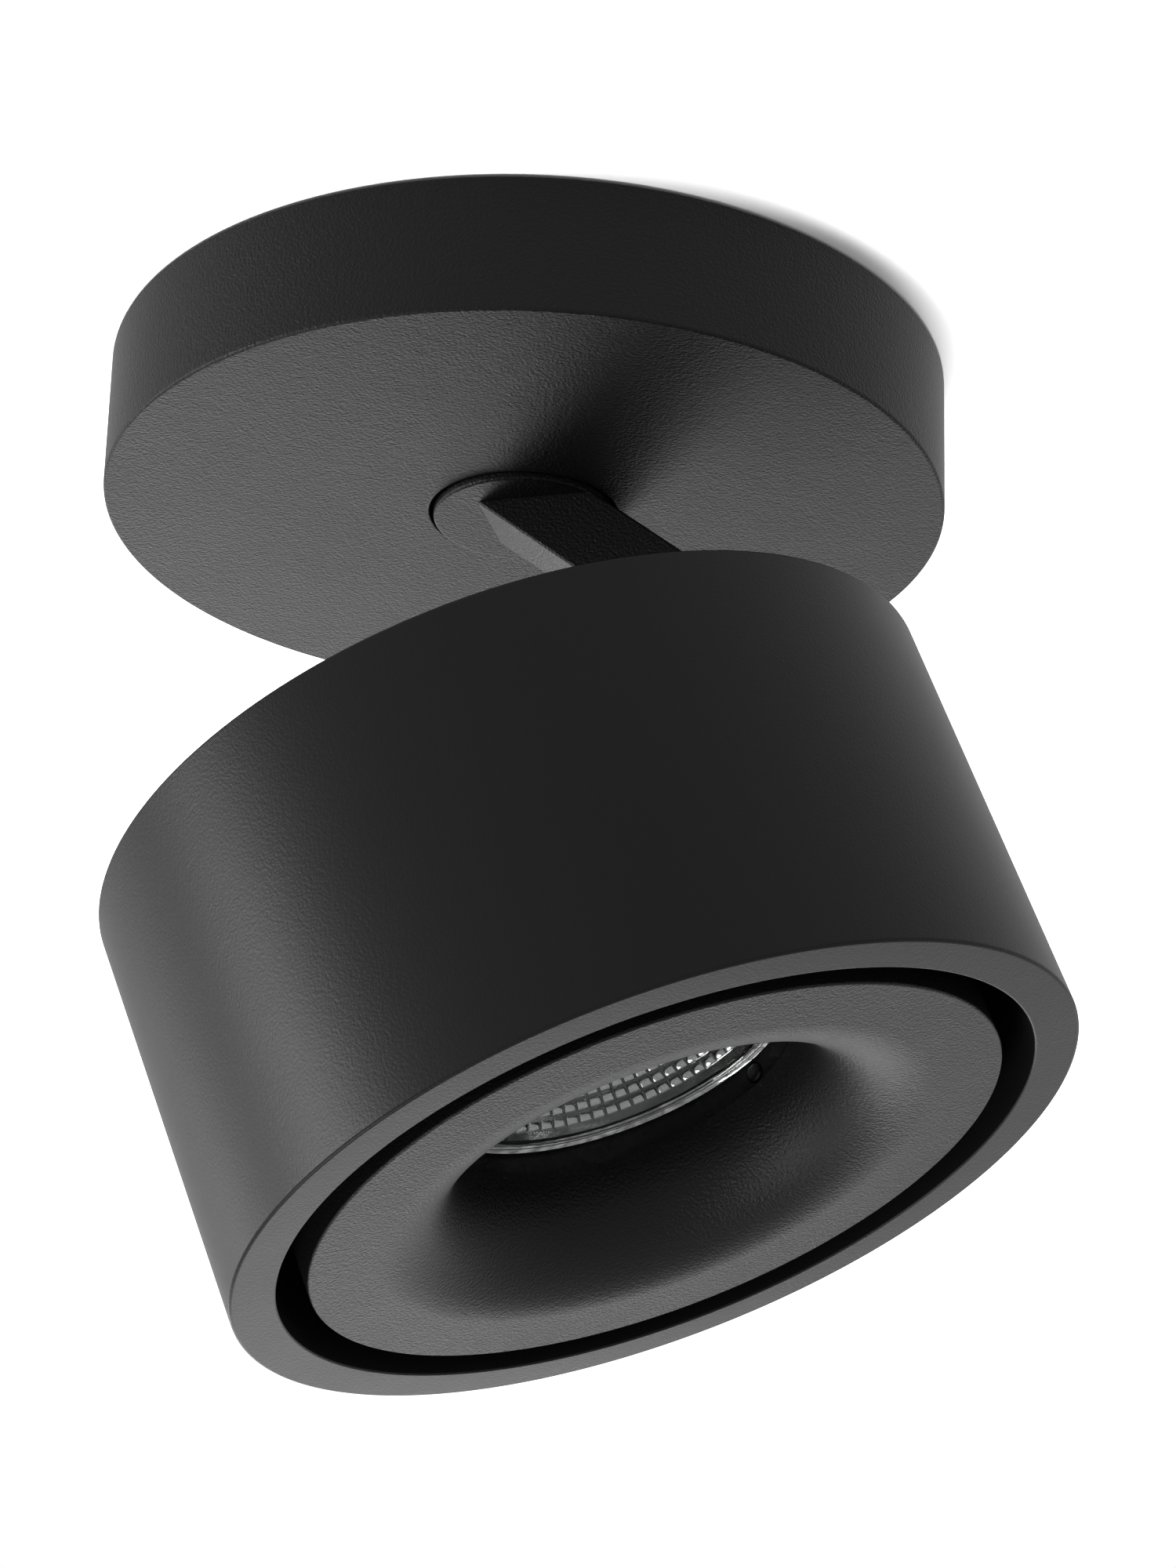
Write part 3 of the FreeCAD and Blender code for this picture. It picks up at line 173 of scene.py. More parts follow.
def soften(corners: Sequence[Corner], steps: int = 4) -> list[Point]:
    """Rounds the corners of an outline that have a fillet.

    Args:
        corners: distance from the axis, height and fillet radius of each corner, in order.
        steps: how many chords each fillet has.

    Returns:
        The rounded outline.
    """
    points: list[Point] = []
    for index, (out, height, fillet) in enumerate(corners):
        at = Vector((out, height))
        if not fillet:
            points.append((out, height))
            continue
        before = (Vector(corners[index - 1][:2]) - at).normalized()
        after = (Vector(corners[(index + 1) % len(corners)][:2]) - at).normalized()
        half = before.angle(after) / 2
        centre = at + (before + after).normalized() * fillet / math.sin(half)
        first = at + before * fillet / math.tan(half) - centre
        last = at + after * fillet / math.tan(half) - centre
        sweep = math.atan2(first.x * last.y - first.y * last.x, first.dot(last))
        for step in range(steps + 1):
            turn = sweep * step / steps
            offset = Vector((first.x * math.cos(turn) - first.y * math.sin(turn),
                             first.x * math.sin(turn) + first.y * math.cos(turn)))
            points.append(tuple(centre + offset))
    return points


def wire(name: str, outline: Sequence[Point], closed: bool, side: float = 0.0) -> Piece:
    """Draws an outline in the XZ plane, one extruded corner after another.

    Args:
        name: the new object's name.
        outline: the corners, as distance along X and height.
        closed: whether the last corner joins the first.
        side: where the plane lies along Y.

    Returns:
        The object, which has edges only.
    """
    bpy.ops.object.select_all(action="DESELECT")
    first = outline[0]
    bpy.ops.mesh.primitive_plane_add(size=OVERRUN, location=(first[0], side, first[1]))
    piece = bpy.context.object
    piece.name = piece.data.name = name
    bpy.ops.object.transform_apply()
    with editing(piece):
        bpy.ops.mesh.select_all(action="SELECT")
        bpy.ops.mesh.merge(type="CENTER")
        for start, end in pairwise([*outline, first] if closed else outline):
            step = (end[0] - start[0], 0, end[1] - start[1])
            bpy.ops.mesh.extrude_vertices_move(TRANSFORM_OT_translate={"value": step})
        bpy.ops.mesh.select_all(action="SELECT")
        bpy.ops.mesh.remove_doubles(threshold=HAIR)
    return piece


def turned(name: str, outline: Sequence[Point], closed: bool = True, segments: int = SEGMENTS) -> Piece:
    """Spins an outline about the Z axis, as on a lathe.

    Args:
        name: the new object's name.
        outline: distance from the axis and height of each point.
        closed: whether the outline closes on itself. One that is open starts and ends on the axis.
        segments: how many flats the round has.

    Returns:
        The turned piece, a closed mesh with its normals outwards.
    """
    piece = wire(name, outline, closed)
    with editing(piece):
        bpy.ops.mesh.select_all(action="SELECT")
        bpy.ops.mesh.spin(steps=segments, angle=math.tau, center=(0, 0, 0), axis=(0, 0, 1))
        bpy.ops.mesh.select_all(action="SELECT")
        bpy.ops.mesh.remove_doubles(threshold=HAIR)
        bpy.ops.mesh.normals_make_consistent(inside=False)
    return piece


def pressed(name: str, outline: Sequence[Point], width: float) -> Piece:
    """Fills an outline in the XZ plane and extrudes it to both sides of that plane.

    Args:
        name: the new object's name.
        outline: the corners, as distance along X and height.
        width: the size along Y.

    Returns:
        The solid piece.
    """
    piece = wire(name, outline, closed=True, side=-width / 2)
    with editing(piece):
        bpy.ops.mesh.select_all(action="SELECT")
        bpy.ops.mesh.edge_face_add()
        bpy.ops.mesh.extrude_region_move(TRANSFORM_OT_translate={"value": (0, width, 0)})
        bpy.ops.mesh.select_all(action="SELECT")
        bpy.ops.mesh.normals_make_consistent(inside=False)
    return piece


def bar(radius: float, start: Vector, end: Vector) -> Piece:
    """A round bar between two points, used to cut or to add.

    Args:
        radius: the bar's radius.
        start: the middle of one end.
        end: the middle of the other end.

    Returns:
        The bar.
    """
    bpy.ops.object.select_all(action="DESELECT")
    along = end - start
    bpy.ops.mesh.primitive_cylinder_add(vertices=SEGMENTS // 4, radius=radius, depth=along.length)
    piece = bpy.context.object
    turn = along.to_track_quat("Z", "Y").to_matrix().to_4x4()
    place(piece, Matrix.Translation((start + end) / 2) @ turn)
    return piece


def post(spot: Point, radius: float, low: float, high: float) -> Piece:
    """An upright round bar.

    Args:
        spot: where its axis lies.
        radius: the bar's radius.
        low: the height of its foot.
        high: the height of its top.

    Returns:
        The bar.
    """
    return bar(radius, Vector((*spot, low)), Vector((*spot, high)))


def block(low: Sequence[float], high: Sequence[float]) -> Piece:
    """A box between two corners, used to cut or to add.

    Args:
        low: the lowest corner.
        high: the highest corner.

    Returns:
        The box.
    """
    bpy.ops.object.select_all(action="DESELECT")
    middle = [(a + b) / 2 for a, b in zip(low, high)]
    span = [b - a for a, b in zip(low, high)]
    bpy.ops.mesh.primitive_cube_add(size=1, location=middle, scale=span)
    piece = bpy.context.object
    bpy.ops.object.transform_apply()
    return piece


def rounded_mouth(low: Point, high: Point, edge: float, steps: int = 4) -> Piece:
    """A tool that rounds the mouth of a slot in the plane at height 0.

    Args:
        low: the slot's lowest corner, seen from above.
        high: the slot's highest corner, seen from above.
        edge: the radius of the rounding.
        steps: how many strips the rounding has.

    Returns:
        The tool.
    """
    piece = block((low[0] - edge, low[1] - edge, 0), (high[0] + edge, high[1] + edge, OVERRUN))
    middle = ((low[0] + high[0]) / 2, (low[1] + high[1]) / 2, 0)
    slot = (high[0] - low[0], high[1] - low[1])
    size, depth = [span + 2 * edge for span in slot], 0.0
    with editing(piece):
        pick(piece, "FACE", lambda spot, normal: normal.z < -0.5)
        for step in range(1, steps + 1):
            angle = math.pi / 2 * step / steps
            drop, spread = edge * (1 - math.cos(angle)), 2 * edge * (1 - math.sin(angle))
            bpy.ops.mesh.extrude_region_move(TRANSFORM_OT_translate={"value": (0, 0, depth - drop)})
            narrower = [span + spread for span in slot]
            scale = (narrower[0] / size[0], narrower[1] / size[1], 1)
            bpy.ops.transform.resize(value=scale, center_override=middle)
            size, depth = narrower, drop
    return piece


def combine(piece: Piece, tool: Piece, operation: str) -> None:
    """Joins a tool's shape to a piece or cuts it away, and removes the tool.

    Args:
        piece: the object that is changed.
        tool: the object that is used up.
        operation: UNION or DIFFERENCE.
    """
    take(piece)
    modifier = piece.modifiers.new("combine", "BOOLEAN")
    modifier.operation = operation
    modifier.solver = "EXACT"
    modifier.object = tool
    bpy.ops.object.modifier_apply(modifier=modifier.name)
    bpy.data.objects.remove(tool, do_unlink=True)


def cut(piece: Piece, *tools: Piece) -> None:
    """Cuts the tools' shapes out of a piece.

    Args:
        piece: the object that is changed.
        *tools: the objects that are used up.
    """
    for tool in tools:
        combine(piece, tool, "DIFFERENCE")


def join(piece: Piece, *tools: Piece) -> None:
    """Joins the tools' shapes to a piece.

    Args:
        piece: the object that is changed.
        *tools: the objects that are used up.
    """
    for tool in tools:
        combine(piece, tool, "UNION")


def bevel(piece: Piece, size: float, test: Callable[[Vector, Vector], bool], steps: int = 3) -> None:
    """Rounds the edges of a piece that pass a test.

    Args:
        piece: the object that is changed.
        size: how far from the edge the rounding starts.
        test: takes an edge's two ends.
        steps: how many strips the rounding has.
    """
    with editing(piece):
        if pick(piece, "EDGE", test):
            bpy.ops.mesh.bevel(offset=size, offset_type="OFFSET", segments=steps, clamp_overlap=True)


def smooth(piece: Piece) -> None:
    """Shades a piece smoothly but for its sharp edges, with its large faces kept flat.

    Args:
        piece: the object that is changed.
    """
    take(piece)
    bpy.ops.object.shade_smooth_by_angle(angle=SHARP)
    modifier = piece.modifiers.new("flat faces", "WEIGHTED_NORMAL")
    modifier.keep_sharp = True
    modifier.weight = 100
    bpy.ops.object.modifier_apply(modifier=modifier.name)


def place(piece: Piece, matrix: Matrix) -> None:
    """Moves a piece and puts the move in its mesh, so that its object stays at the origin.

    Args:
        piece: the object that is moved.
        matrix: the move.
    """
    take(piece)
    piece.matrix_world = matrix
    bpy.ops.object.transform_apply()


def hand_over(piece: Piece, body: str, slot: str, *nodes: str, relief: float = 1.0) -> None:
    """Gives a finished piece its material, its body and the nodes that it stands for.

    Args:
        piece: the finished object.
        body: the body that it rides on.
        slot: the record's material slot.
        *nodes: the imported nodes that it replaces.
        relief: how deep the finish's relief is, as a share of the usual.
    """
    piece.data.materials.clear()
    piece.data.materials.append(finish(slot, relief))
    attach(piece, body)
    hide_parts(*nodes)
    LOG.info("%s rides on %s, %d faces", piece.name, body, len(piece.data.polygons))


# Node trees


@dataclass
class Graph:
    """A node tree, with short ways to add nodes and to link them. The nodes are laid out in rows of eight."""

    tree: bpy.types.NodeTree
    step: Point = (200, -320)

    def add(self, kind: str, **settings: object) -> bpy.types.Node:
        """Adds a node.

        Args:
            kind: the node's type name.
            **settings: values for the node's own properties.

        Returns:
            The node.
        """
        row, column = divmod(len(self.tree.nodes), 8)
        node = self.tree.nodes.new(kind)
        node.location = (self.step[0] * column, self.step[1] * row)
        for name, value in settings.items():
            setattr(node, name, value)
        return node

    def link(self, source: Socket, target: Socket) -> None:
        """Links an output to an input."""
        self.tree.links.new(source, target)

    def feed(self, target: Socket, value: object) -> None:
        """Gives an input a number, or links an output to it.

        Args:
            target: the input.
            value: the number or the output.
        """
        if isinstance(value, Socket):
            self.link(value, target)
        else:
            target.default_value = value

    def math(self, operation: str, first: object, second: object) -> Socket:
        """Adds a sum on two values, each a number or an output.

        Args:
            operation: the name of the sum.
            first: the first value.
            second: the second value.

        Returns:
            The output with the result.
        """
        node = self.add("ShaderNodeMath", operation=operation)
        self.feed(node.inputs[0], first)
        self.feed(node.inputs[1], second)
        return node.outputs[0]

    def mix(self, first: object, second: object, share: float) -> Socket:
        """Mixes two values.

        Args:
            first: the first value, an output.
            second: the second value, an output.
            share: how much of the second there is, from 0 to 1.

        Returns:
            The output with the result.
        """
        return self.math("ADD", self.math("MULTIPLY", first, 1 - share), self.math("MULTIPLY", second, share))

    def noise(self, vector: object, scale: object, detail: float, rough: float) -> Socket:
        """Adds a noise texture.

        Args:
            vector: where the noise is read, an output.
            scale: its scale, a number or an output.
            detail: how many finer layers it has.
            rough: how strong the finer layers are.

        Returns:
            The noise's value.
        """
        node = self.add("ShaderNodeTexNoise")
        for label, value in (("Vector", vector), ("Scale", scale), ("Detail", detail), ("Roughness", rough)):
            self.feed(node.inputs[label], value)
        return node.outputs["Fac"]


GroupParts = tuple[Graph, bpy.types.Node, bpy.types.Node]


def new_group(name: str, inputs: dict[str, object], outputs: dict[str, str]) -> GroupParts:
    """Starts a shader node group.

    Args:
        name: the group's name.
        inputs: the name of each input, with its default number, or its socket type as text.
        outputs: the name of each output with its socket type.

    Returns:
        The group as a graph, its input node and its output node.
    """
    tree = bpy.data.node_groups.new(name, "ShaderNodeTree")
    for label, value in inputs.items():
        kind = value if isinstance(value, str) else "NodeSocketFloat"
        socket = tree.interface.new_socket(label, in_out="INPUT", socket_type=kind)
        if not isinstance(value, str):
            socket.default_value = value
    for label, kind in outputs.items():
        tree.interface.new_socket(label, in_out="OUTPUT", socket_type=kind)
    graph = Graph(tree)
    return graph, graph.add("NodeGroupInput"), graph.add("NodeGroupOutput")


# Layers, roughness and share of fine noise of each wavy relief
WAVES = {Grain.ORANGE_PEEL: (1.5, 0.45, 0.22), Grain.CAST: (5, 0.62, 0.45), Grain.MOULDED: (2, 0.5, 0.3)}
WAVES_FINER, SPECK_FROM = 3.1, 0.68
SPANGLE_FINER, SPANGLE_FINE_SHARE = 9.0, 0.3
DRAWN_STRETCH, DRAWN_PATCHES = (1, 1, 14), 0.4


@cache
def relief_group(grain: Grain) -> bpy.types.NodeTree:
    """Builds the group that makes one kind of fine relief.

    Args:
        grain: which relief.

    Returns:
        A group with a Vector and a Size in metres, which puts out the Height from 0 to 1 and a Speck mask.
    """
    graph, source, target = new_group(
        f"{grain.value} relief",
        {"Vector": "NodeSocketVector", "Size": 0.0005},
        {"Height": "NodeSocketFloat", "Speck": "NodeSocketFloat"})
    vector = source.outputs["Vector"]
    scale = graph.math("DIVIDE", 1.0, source.outputs["Size"])
    if grain is Grain.SPANGLE:
        cells = graph.add("ShaderNodeTexVoronoi")
        graph.link(vector, cells.inputs["Vector"])
        graph.link(scale, cells.inputs["Scale"])
        fine = graph.noise(vector, graph.math("MULTIPLY", scale, SPANGLE_FINER), 3, 0.6)
        shade = graph.add("ShaderNodeSeparateColor")
        graph.link(cells.outputs["Color"], shade.inputs[0])
        height = graph.mix(shade.outputs[0], fine, SPANGLE_FINE_SHARE)
        speck = shade.outputs[1]
    elif grain is Grain.DRAWN:
        stretch = graph.add("ShaderNodeMapping")
        stretch.inputs["Scale"].default_value = DRAWN_STRETCH
        graph.link(vector, stretch.inputs["Vector"])
        height = graph.noise(stretch.outputs[0], scale, 4, 0.65)
        speck = graph.noise(vector, graph.math("MULTIPLY", scale, DRAWN_PATCHES), 3, 0.6)
    else:
        detail, rough, share = WAVES[grain]
        waves = graph.noise(vector, scale, detail, rough)
        fine = graph.noise(vector, graph.math("MULTIPLY", scale, WAVES_FINER), 2, 0.5)
        height = graph.mix(waves, fine, share)
        speck = graph.math("GREATER_THAN", fine, SPECK_FROM)
    graph.link(height, target.inputs["Height"])
    graph.link(speck, target.inputs["Speck"])
    return graph.tree


@cache
def drift_group() -> bpy.types.NodeTree:
    """Builds the group that lets a tone and a roughness drift over the surface.

    Returns:
        A group with a Vector, Colour, Rough, Drift and Size, which puts out a Colour and a Rough value.
    """
    graph, source, target = new_group(
        "tone drift",
        {"Vector": "NodeSocketVector", "Colour": "NodeSocketColor", "Rough": 0.5, "Drift": 0.1, "Size": 0.02},
        {"Colour": "NodeSocketColor", "Rough": "NodeSocketFloat"})
    scale = graph.math("DIVIDE", 1.0, source.outputs["Size"])
    waves = graph.noise(source.outputs["Vector"], scale, 3, 0.55)
    patch = graph.math("SUBTRACT", waves, 0.5)
    swing = graph.math("MULTIPLY", patch, source.outputs["Drift"])
    gain = graph.math("ADD", 1.0, graph.math("MULTIPLY", swing, 2.0))
    tint = graph.add("ShaderNodeVectorMath", operation="SCALE")
    graph.link(source.outputs["Colour"], tint.inputs[0])
    graph.link(gain, tint.inputs["Scale"])
    graph.link(tint.outputs[0], target.inputs["Colour"])
    graph.link(graph.math("ADD", source.outputs["Rough"], swing), target.inputs["Rough"])
    return graph.tree


@dataclass(frozen=True)
class Finish:
    """One finish of the lamp. Its material is built once.

    The relief's size and depth are in metres. Drift is how far the tone and the roughness wander, as a share,
    and glint is how much smoother the specks of the relief are.
    """

    slot: str
    colour: Colour
    roughness: float
    size: float
    depth: float
    grain: Grain = Grain.MOULDED
    metallic: float = 0.0
    specular: float = 0.5
    drift: float = 0.12
    patch: float = 0.012
    glint: float = 0.04
    clear: bool = False
    index: float = 1.5

    @cache
    def material(self) -> bpy.types.Material:
        """Builds the material.

        Returns:
            The material.
        """
        material = bpy.data.materials.new(f"finish_{self.slot}_{self.depth * 1e6:g}")
        material.use_nodes = True
        graph = Graph(material.node_tree)
        shader = material.node_tree.nodes["Principled BSDF"]
        where = graph.add("ShaderNodeTexCoord").outputs["Object"]
        tone = graph.add("ShaderNodeGroup", node_tree=drift_group())
        tone.inputs["Colour"].default_value = (*self.colour, 1)
        for label, value in (("Rough", self.roughness), ("Drift", self.drift), ("Size", self.patch)):
            tone.inputs[label].default_value = value
        graph.link(where, tone.inputs["Vector"])
        if self.clear:
            shader.inputs["Base Color"].default_value = (*self.colour, 1)
            shader.inputs["Transmission Weight"].default_value = 1
        else:
            graph.link(tone.outputs["Colour"], shader.inputs["Base Color"])
        relief = graph.add("ShaderNodeGroup", node_tree=relief_group(self.grain))
        relief.inputs["Size"].default_value = self.size
        graph.link(where, relief.inputs["Vector"])
        glint = graph.math("MULTIPLY", relief.outputs["Speck"], self.glint)
        graph.link(graph.math("SUBTRACT", tone.outputs["Rough"], glint), shader.inputs["Roughness"])
        bump = graph.add("ShaderNodeBump")
        bump.inputs["Strength"].default_value = 1
        bump.inputs["Distance"].default_value = self.depth
        graph.link(relief.outputs["Height"], bump.inputs["Height"])
        graph.link(bump.outputs["Normal"], shader.inputs["Normal"])
        shader.inputs["Metallic"].default_value = self.metallic
        shader.inputs["Specular IOR Level"].default_value = self.specular
        shader.inputs["IOR"].default_value = self.index
        return material


FINISHES = {finish.slot: finish for finish in (
    Finish("powder_coat", (0.004, 0.004, 0.0042), 0.4, 0.00034, 0.00017, Grain.ORANGE_PEEL, specular=0.1,
           drift=0.05, glint=0.12),
    Finish("galvanised_steel", (0.55, 0.56, 0.57), 0.38, 0.0045, 0.000012, Grain.SPANGLE, metallic=1,
           drift=0.2),
    Finish("zinc_screws", (0.62, 0.63, 0.66), 0.3, 0.0005, 0.00001, Grain.DRAWN, metallic=1, drift=0.15),
    Finish("black_steel", (0.006, 0.006, 0.0062), 0.24, 0.0004, 0.000006, Grain.DRAWN, specular=0.2,
           drift=0.1),
    Finish("spring_steel", (0.5, 0.49, 0.47), 0.3, 0.0004, 0.000008, Grain.DRAWN, metallic=1, drift=0.15),
    Finish("brass_screws", (0.75, 0.56, 0.26), 0.28, 0.0004, 0.000008, Grain.DRAWN, metallic=1, drift=0.15),
    Finish("rubber", (0.02, 0.02, 0.02), 0.75, 0.0003, 0.00001),
    Finish("cast_sink", (0.42, 0.42, 0.43), 0.5, 0.0008, 0.00004, Grain.CAST, metallic=1, drift=0.18),
    Finish("white_plastic", (0.74, 0.74, 0.72), 0.4, 0.00035, 0.000008, drift=0.04),
    Finish("nylon", (0.62, 0.61, 0.56), 0.45, 0.0003, 0.000006, drift=0.05),
    Finish("grey_pad", (0.3, 0.31, 0.33), 0.85, 0.00025, 0.00001),
    Finish("board", (0.72, 0.73, 0.7), 0.35, 0.0002, 0.000003, drift=0.05),
    Finish("phosphor", (0.78, 0.6, 0.1), 0.35, 0.00015, 0.000004, drift=0.06),
    # the metallised tone is far darker than bare aluminium: painted shade standing in for the dark
    # surroundings that the bright metal would mirror, with only the lamps' glints left bright
    Finish("metallised", (0.3, 0.303, 0.306), 0.09, 0.0012, 0.000002, metallic=1, drift=0.06),
    Finish("clear_cover", (0.98, 0.985, 0.98), 0.02, 0.003, 0.0000005, drift=0.01, clear=True, index=1.49),
    Finish("black_gloss", (0.004, 0.004, 0.004), 0.28, 0.0009, 0.000002, specular=0.15, drift=0.04),
    Finish("lead_jacket", (0.16, 0.04, 0.025), 0.4, 0.0004, 0.000006),
    Finish("earth_jacket", (0.07, 0.2, 0.03), 0.4, 0.0004, 0.000006),
    Finish("cord_jacket", (0.6, 0.6, 0.58), 0.42, 0.0004, 0.000006),
)}


def finish(slot: str, relief: float = 1.0) -> bpy.types.Material:
    """The material of a slot.

    Args:
        slot: the record's material slot.
        relief: how deep the relief is, as a share of the finish's own.

    Returns:
        The material.
    """
    usual = FINISHES[slot]
    return replace(usual, depth=usual.depth * relief).material()


@dataclass
class Canopy:
    """The shallow cast cup on the ceiling, with the swivel's seat and its bearing boss."""

    radius: float = 0.05
    height: float = 0.0168
    wall: float = 0.0022
    floor: float = 0.003
    seat_radius: float = 0.0113
    seat_height: float = -0.0141
    seat_edge: float = 0.00018
    bearing_radius: float = 0.00605
    boss_radius: float = 0.015
    boss_top: float = -0.0113
    clamp_posts: tuple[Point, ...] = ((-0.027, -0.0305), (-0.017, -0.0305))
    post_radius: float = 0.0021
    post_top: float = -0.0088
    post_hole_depth: float = 0.0022
    earth_boss: Point = (0.026, -0.014)
    earth_boss_radius: float = 0.0035
    earth_boss_top: float = -0.0099
    earth_hole: float = 0.002
    earth_hole_depth: float = 0.0032
    hook: Corner = (0.003, 0.0045, 0.0012)
    lock_radius: float = 0.00155
    lock_drop: float = 0.0075
    stop_pin_place: float = 0.013
    stop_pin_radius: float = 0.001
    stop_pin_depth: float = 0.002
    driver_screw_place: float = 0.0275
    driver_hole_depth: float = 0.0012

    def build(self) -> None:
        """Turns the cup, adds its bosses and its hook, drills it and hands it over."""
        low, deck, inside = -self.height, self.floor - self.height, self.radius - self.wall
        piece = turned("canopy_cup", soften([
            (self.radius, 0, BROKEN),
            (self.radius, low, SOFT),
            (self.seat_radius, low, self.seat_edge),
            (self.seat_radius, self.seat_height, 0),
            (self.bearing_radius, self.seat_height, 0),
            (self.bearing_radius, self.boss_top, EASED),
            (self.boss_radius, self.boss_top, ROUNDED),
            (self.boss_radius, deck, SOFT),
            (inside, deck, CAST),
            (inside, 0, BROKEN),
        ]))
        sunk = deck - self.floor / 2
        for spot in self.clamp_posts:
            join(piece, post(spot, self.post_radius, sunk, self.post_top))
            cut(piece, post(spot, TAPPED, self.post_top - self.post_hole_depth, OVERRUN))
        join(piece, post(self.earth_boss, self.earth_boss_radius, sunk, self.earth_boss_top))
        bottom = self.earth_boss_top - self.earth_hole_depth
        cut(piece, post(self.earth_boss, self.earth_hole, bottom, OVERRUN))
        half, reach, rise = self.hook
        join(piece, block((-half, -inside - self.wall / 2, -self.lock_drop - rise),
                          (half, reach - inside, -self.lock_drop + rise)))
        middle = Vector((0, self.radius, -self.lock_drop))
        outward = Vector((0, 2 * self.wall, 0))
        cut(piece, bar(self.lock_radius, middle - outward, middle + outward))
        stop = (self.stop_pin_place, 0)
        cut(piece, post(stop, self.stop_pin_radius, self.boss_top - self.stop_pin_depth, OVERRUN))
        for side in (-1, 1):
            spot = (side * self.driver_screw_place, self.driver_screw_place)
            cut(piece, post(spot, TAPPED, deck - self.driver_hole_depth, deck + OVERRUN))
        smooth(piece)
        hand_over(piece, "ceiling_base", "powder_coat", "canopy")


@dataclass
class SwivelArm:
    """The disc, the hollow shank above it and the leaning bar with its rounded end, in one casting."""

    low: float = -0.0168
    disc_radius: float = 0.0108
    disc_thickness: float = 0.0022
    disc_rise: float = 0.0007
    disc_edge: float = 0.00035
    shank_radius: float = 0.006
    shank_top: float = -0.0065
    shank_flat: float = 0.0051
    flat_low: float = -0.0113
    root: float = 0.002
    hinge: Point = (HINGE[0], HINGE[2])
    width: float = 0.0114
    thickness: float = 0.00885
    bar_edge: float = 0.00035
    weld: float = 0.00022
    bore: float = 0.002
    hinge_hole: float = 0.0015
    hinge_hole_depth: float = 0.0026
    bore_length: float = 0.07

    def bar_outline(self) -> list[Point]:
        """Works out the side view of the leaning bar, with its half-round end.

        Returns:
            The outline, from the foot inside the disc round the end and back.
        """
        lean = math.atan2(self.low - self.hinge[1], self.hinge[0] - self.root)
        level = self.low + self.disc_thickness / 2
        sunk = self.root - self.disc_thickness / 2 / math.tan(lean)
        foot = self.thickness / (2 * math.sin(lean))
        turn = math.degrees(lean)
        end = arc(self.hinge, self.thickness / 2, 90 - turn, -90 - turn, 24)
        return [(sunk + foot, level), *[corner[:2] for corner in end], (sunk - foot, level)]

    def build(self) -> None:
        """Models the casting, drills it and hands it over."""
        top, face = self.low + self.disc_thickness, self.low - self.disc_rise
        piece = turned("swivel_arm_casting", soften([
            (0, self.shank_top, 0),
            (self.shank_radius, self.shank_top, ROUNDED),
            (self.shank_radius, top, ROUNDED),
            (self.disc_radius, top, CRISP),
            (self.disc_radius, face, self.disc_edge),
            (0, face, 0),
        ]), closed=False)
        limb = pressed("limb", self.bar_outline(), self.width)
        half, inner = self.width / 2, self.low + self.disc_thickness / 3
        bevel(limb, self.bar_edge, lambda a, b: abs(abs(a.y) - half) < HAIR and abs(a.y - b.y) < HAIR
              and min(a.z, b.z) < inner)
        join(piece, limb)

        def at_foot(a: Vector, b: Vector) -> bool:
            """Whether an edge lies where the bar leaves the disc."""
            flat = abs(a.z - face) < HAIR and abs(b.z - face) < HAIR
            return flat and max(a.xy.length, b.xy.length) < self.disc_radius - 2 * self.disc_edge

        bevel(piece, self.weld, at_foot, 2)
        cut(piece, block((self.shank_flat, -self.shank_radius, self.flat_low),
                         (self.shank_radius + OVERRUN, self.shank_radius, self.shank_top + OVERRUN)))
        lean = Vector((self.hinge[0] - self.root, 0, self.hinge[1] - self.low)).normalized()
        meet = Vector((0, 0, self.low - self.root * lean.z / lean.x))
        cut(piece, bar(self.bore, meet, Vector((0, 0, self.shank_top + OVERRUN))),
            bar(self.bore, meet, meet + lean * self.bore_length))
        for side in (-1, 1):
            middle, outward = Vector((self.hinge[0], side * half, self.hinge[1])), Vector((0, side, 0))
            depth = outward * self.hinge_hole_depth
            cut(piece, bar(self.hinge_hole, middle - depth, middle + outward * OVERRUN))
        smooth(piece)
        hand_over(piece, "swivel", "powder_coat", "swivel_arm")


@dataclass
class Head:
    """The shape that all of the head's pieces share: where it hangs and how it tilts."""

    hinge: Corner = HINGE
    hinge_depth: float = 0.0075
    tilt: float = math.radians(21.36)

    def give(self, piece: Piece, slot: str, *nodes: str, relief: float = 1.0) -> None:
        """Hangs a piece that was modelled upright and hands it over.

        Args:
            piece: the finished object.
            slot: the record's material slot.
            *nodes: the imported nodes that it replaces.
            relief: how deep the finish's relief is, as a share of the usual.
        """
        turn = Matrix.Rotation(-self.tilt, 4, "Y")
        grip = Vector((self.hinge[0], 0, -self.hinge_depth))
        place(piece, Matrix.Translation(Vector(self.hinge) - turn @ grip) @ turn)
        hand_over(piece, "head", slot, *nodes, relief=relief)


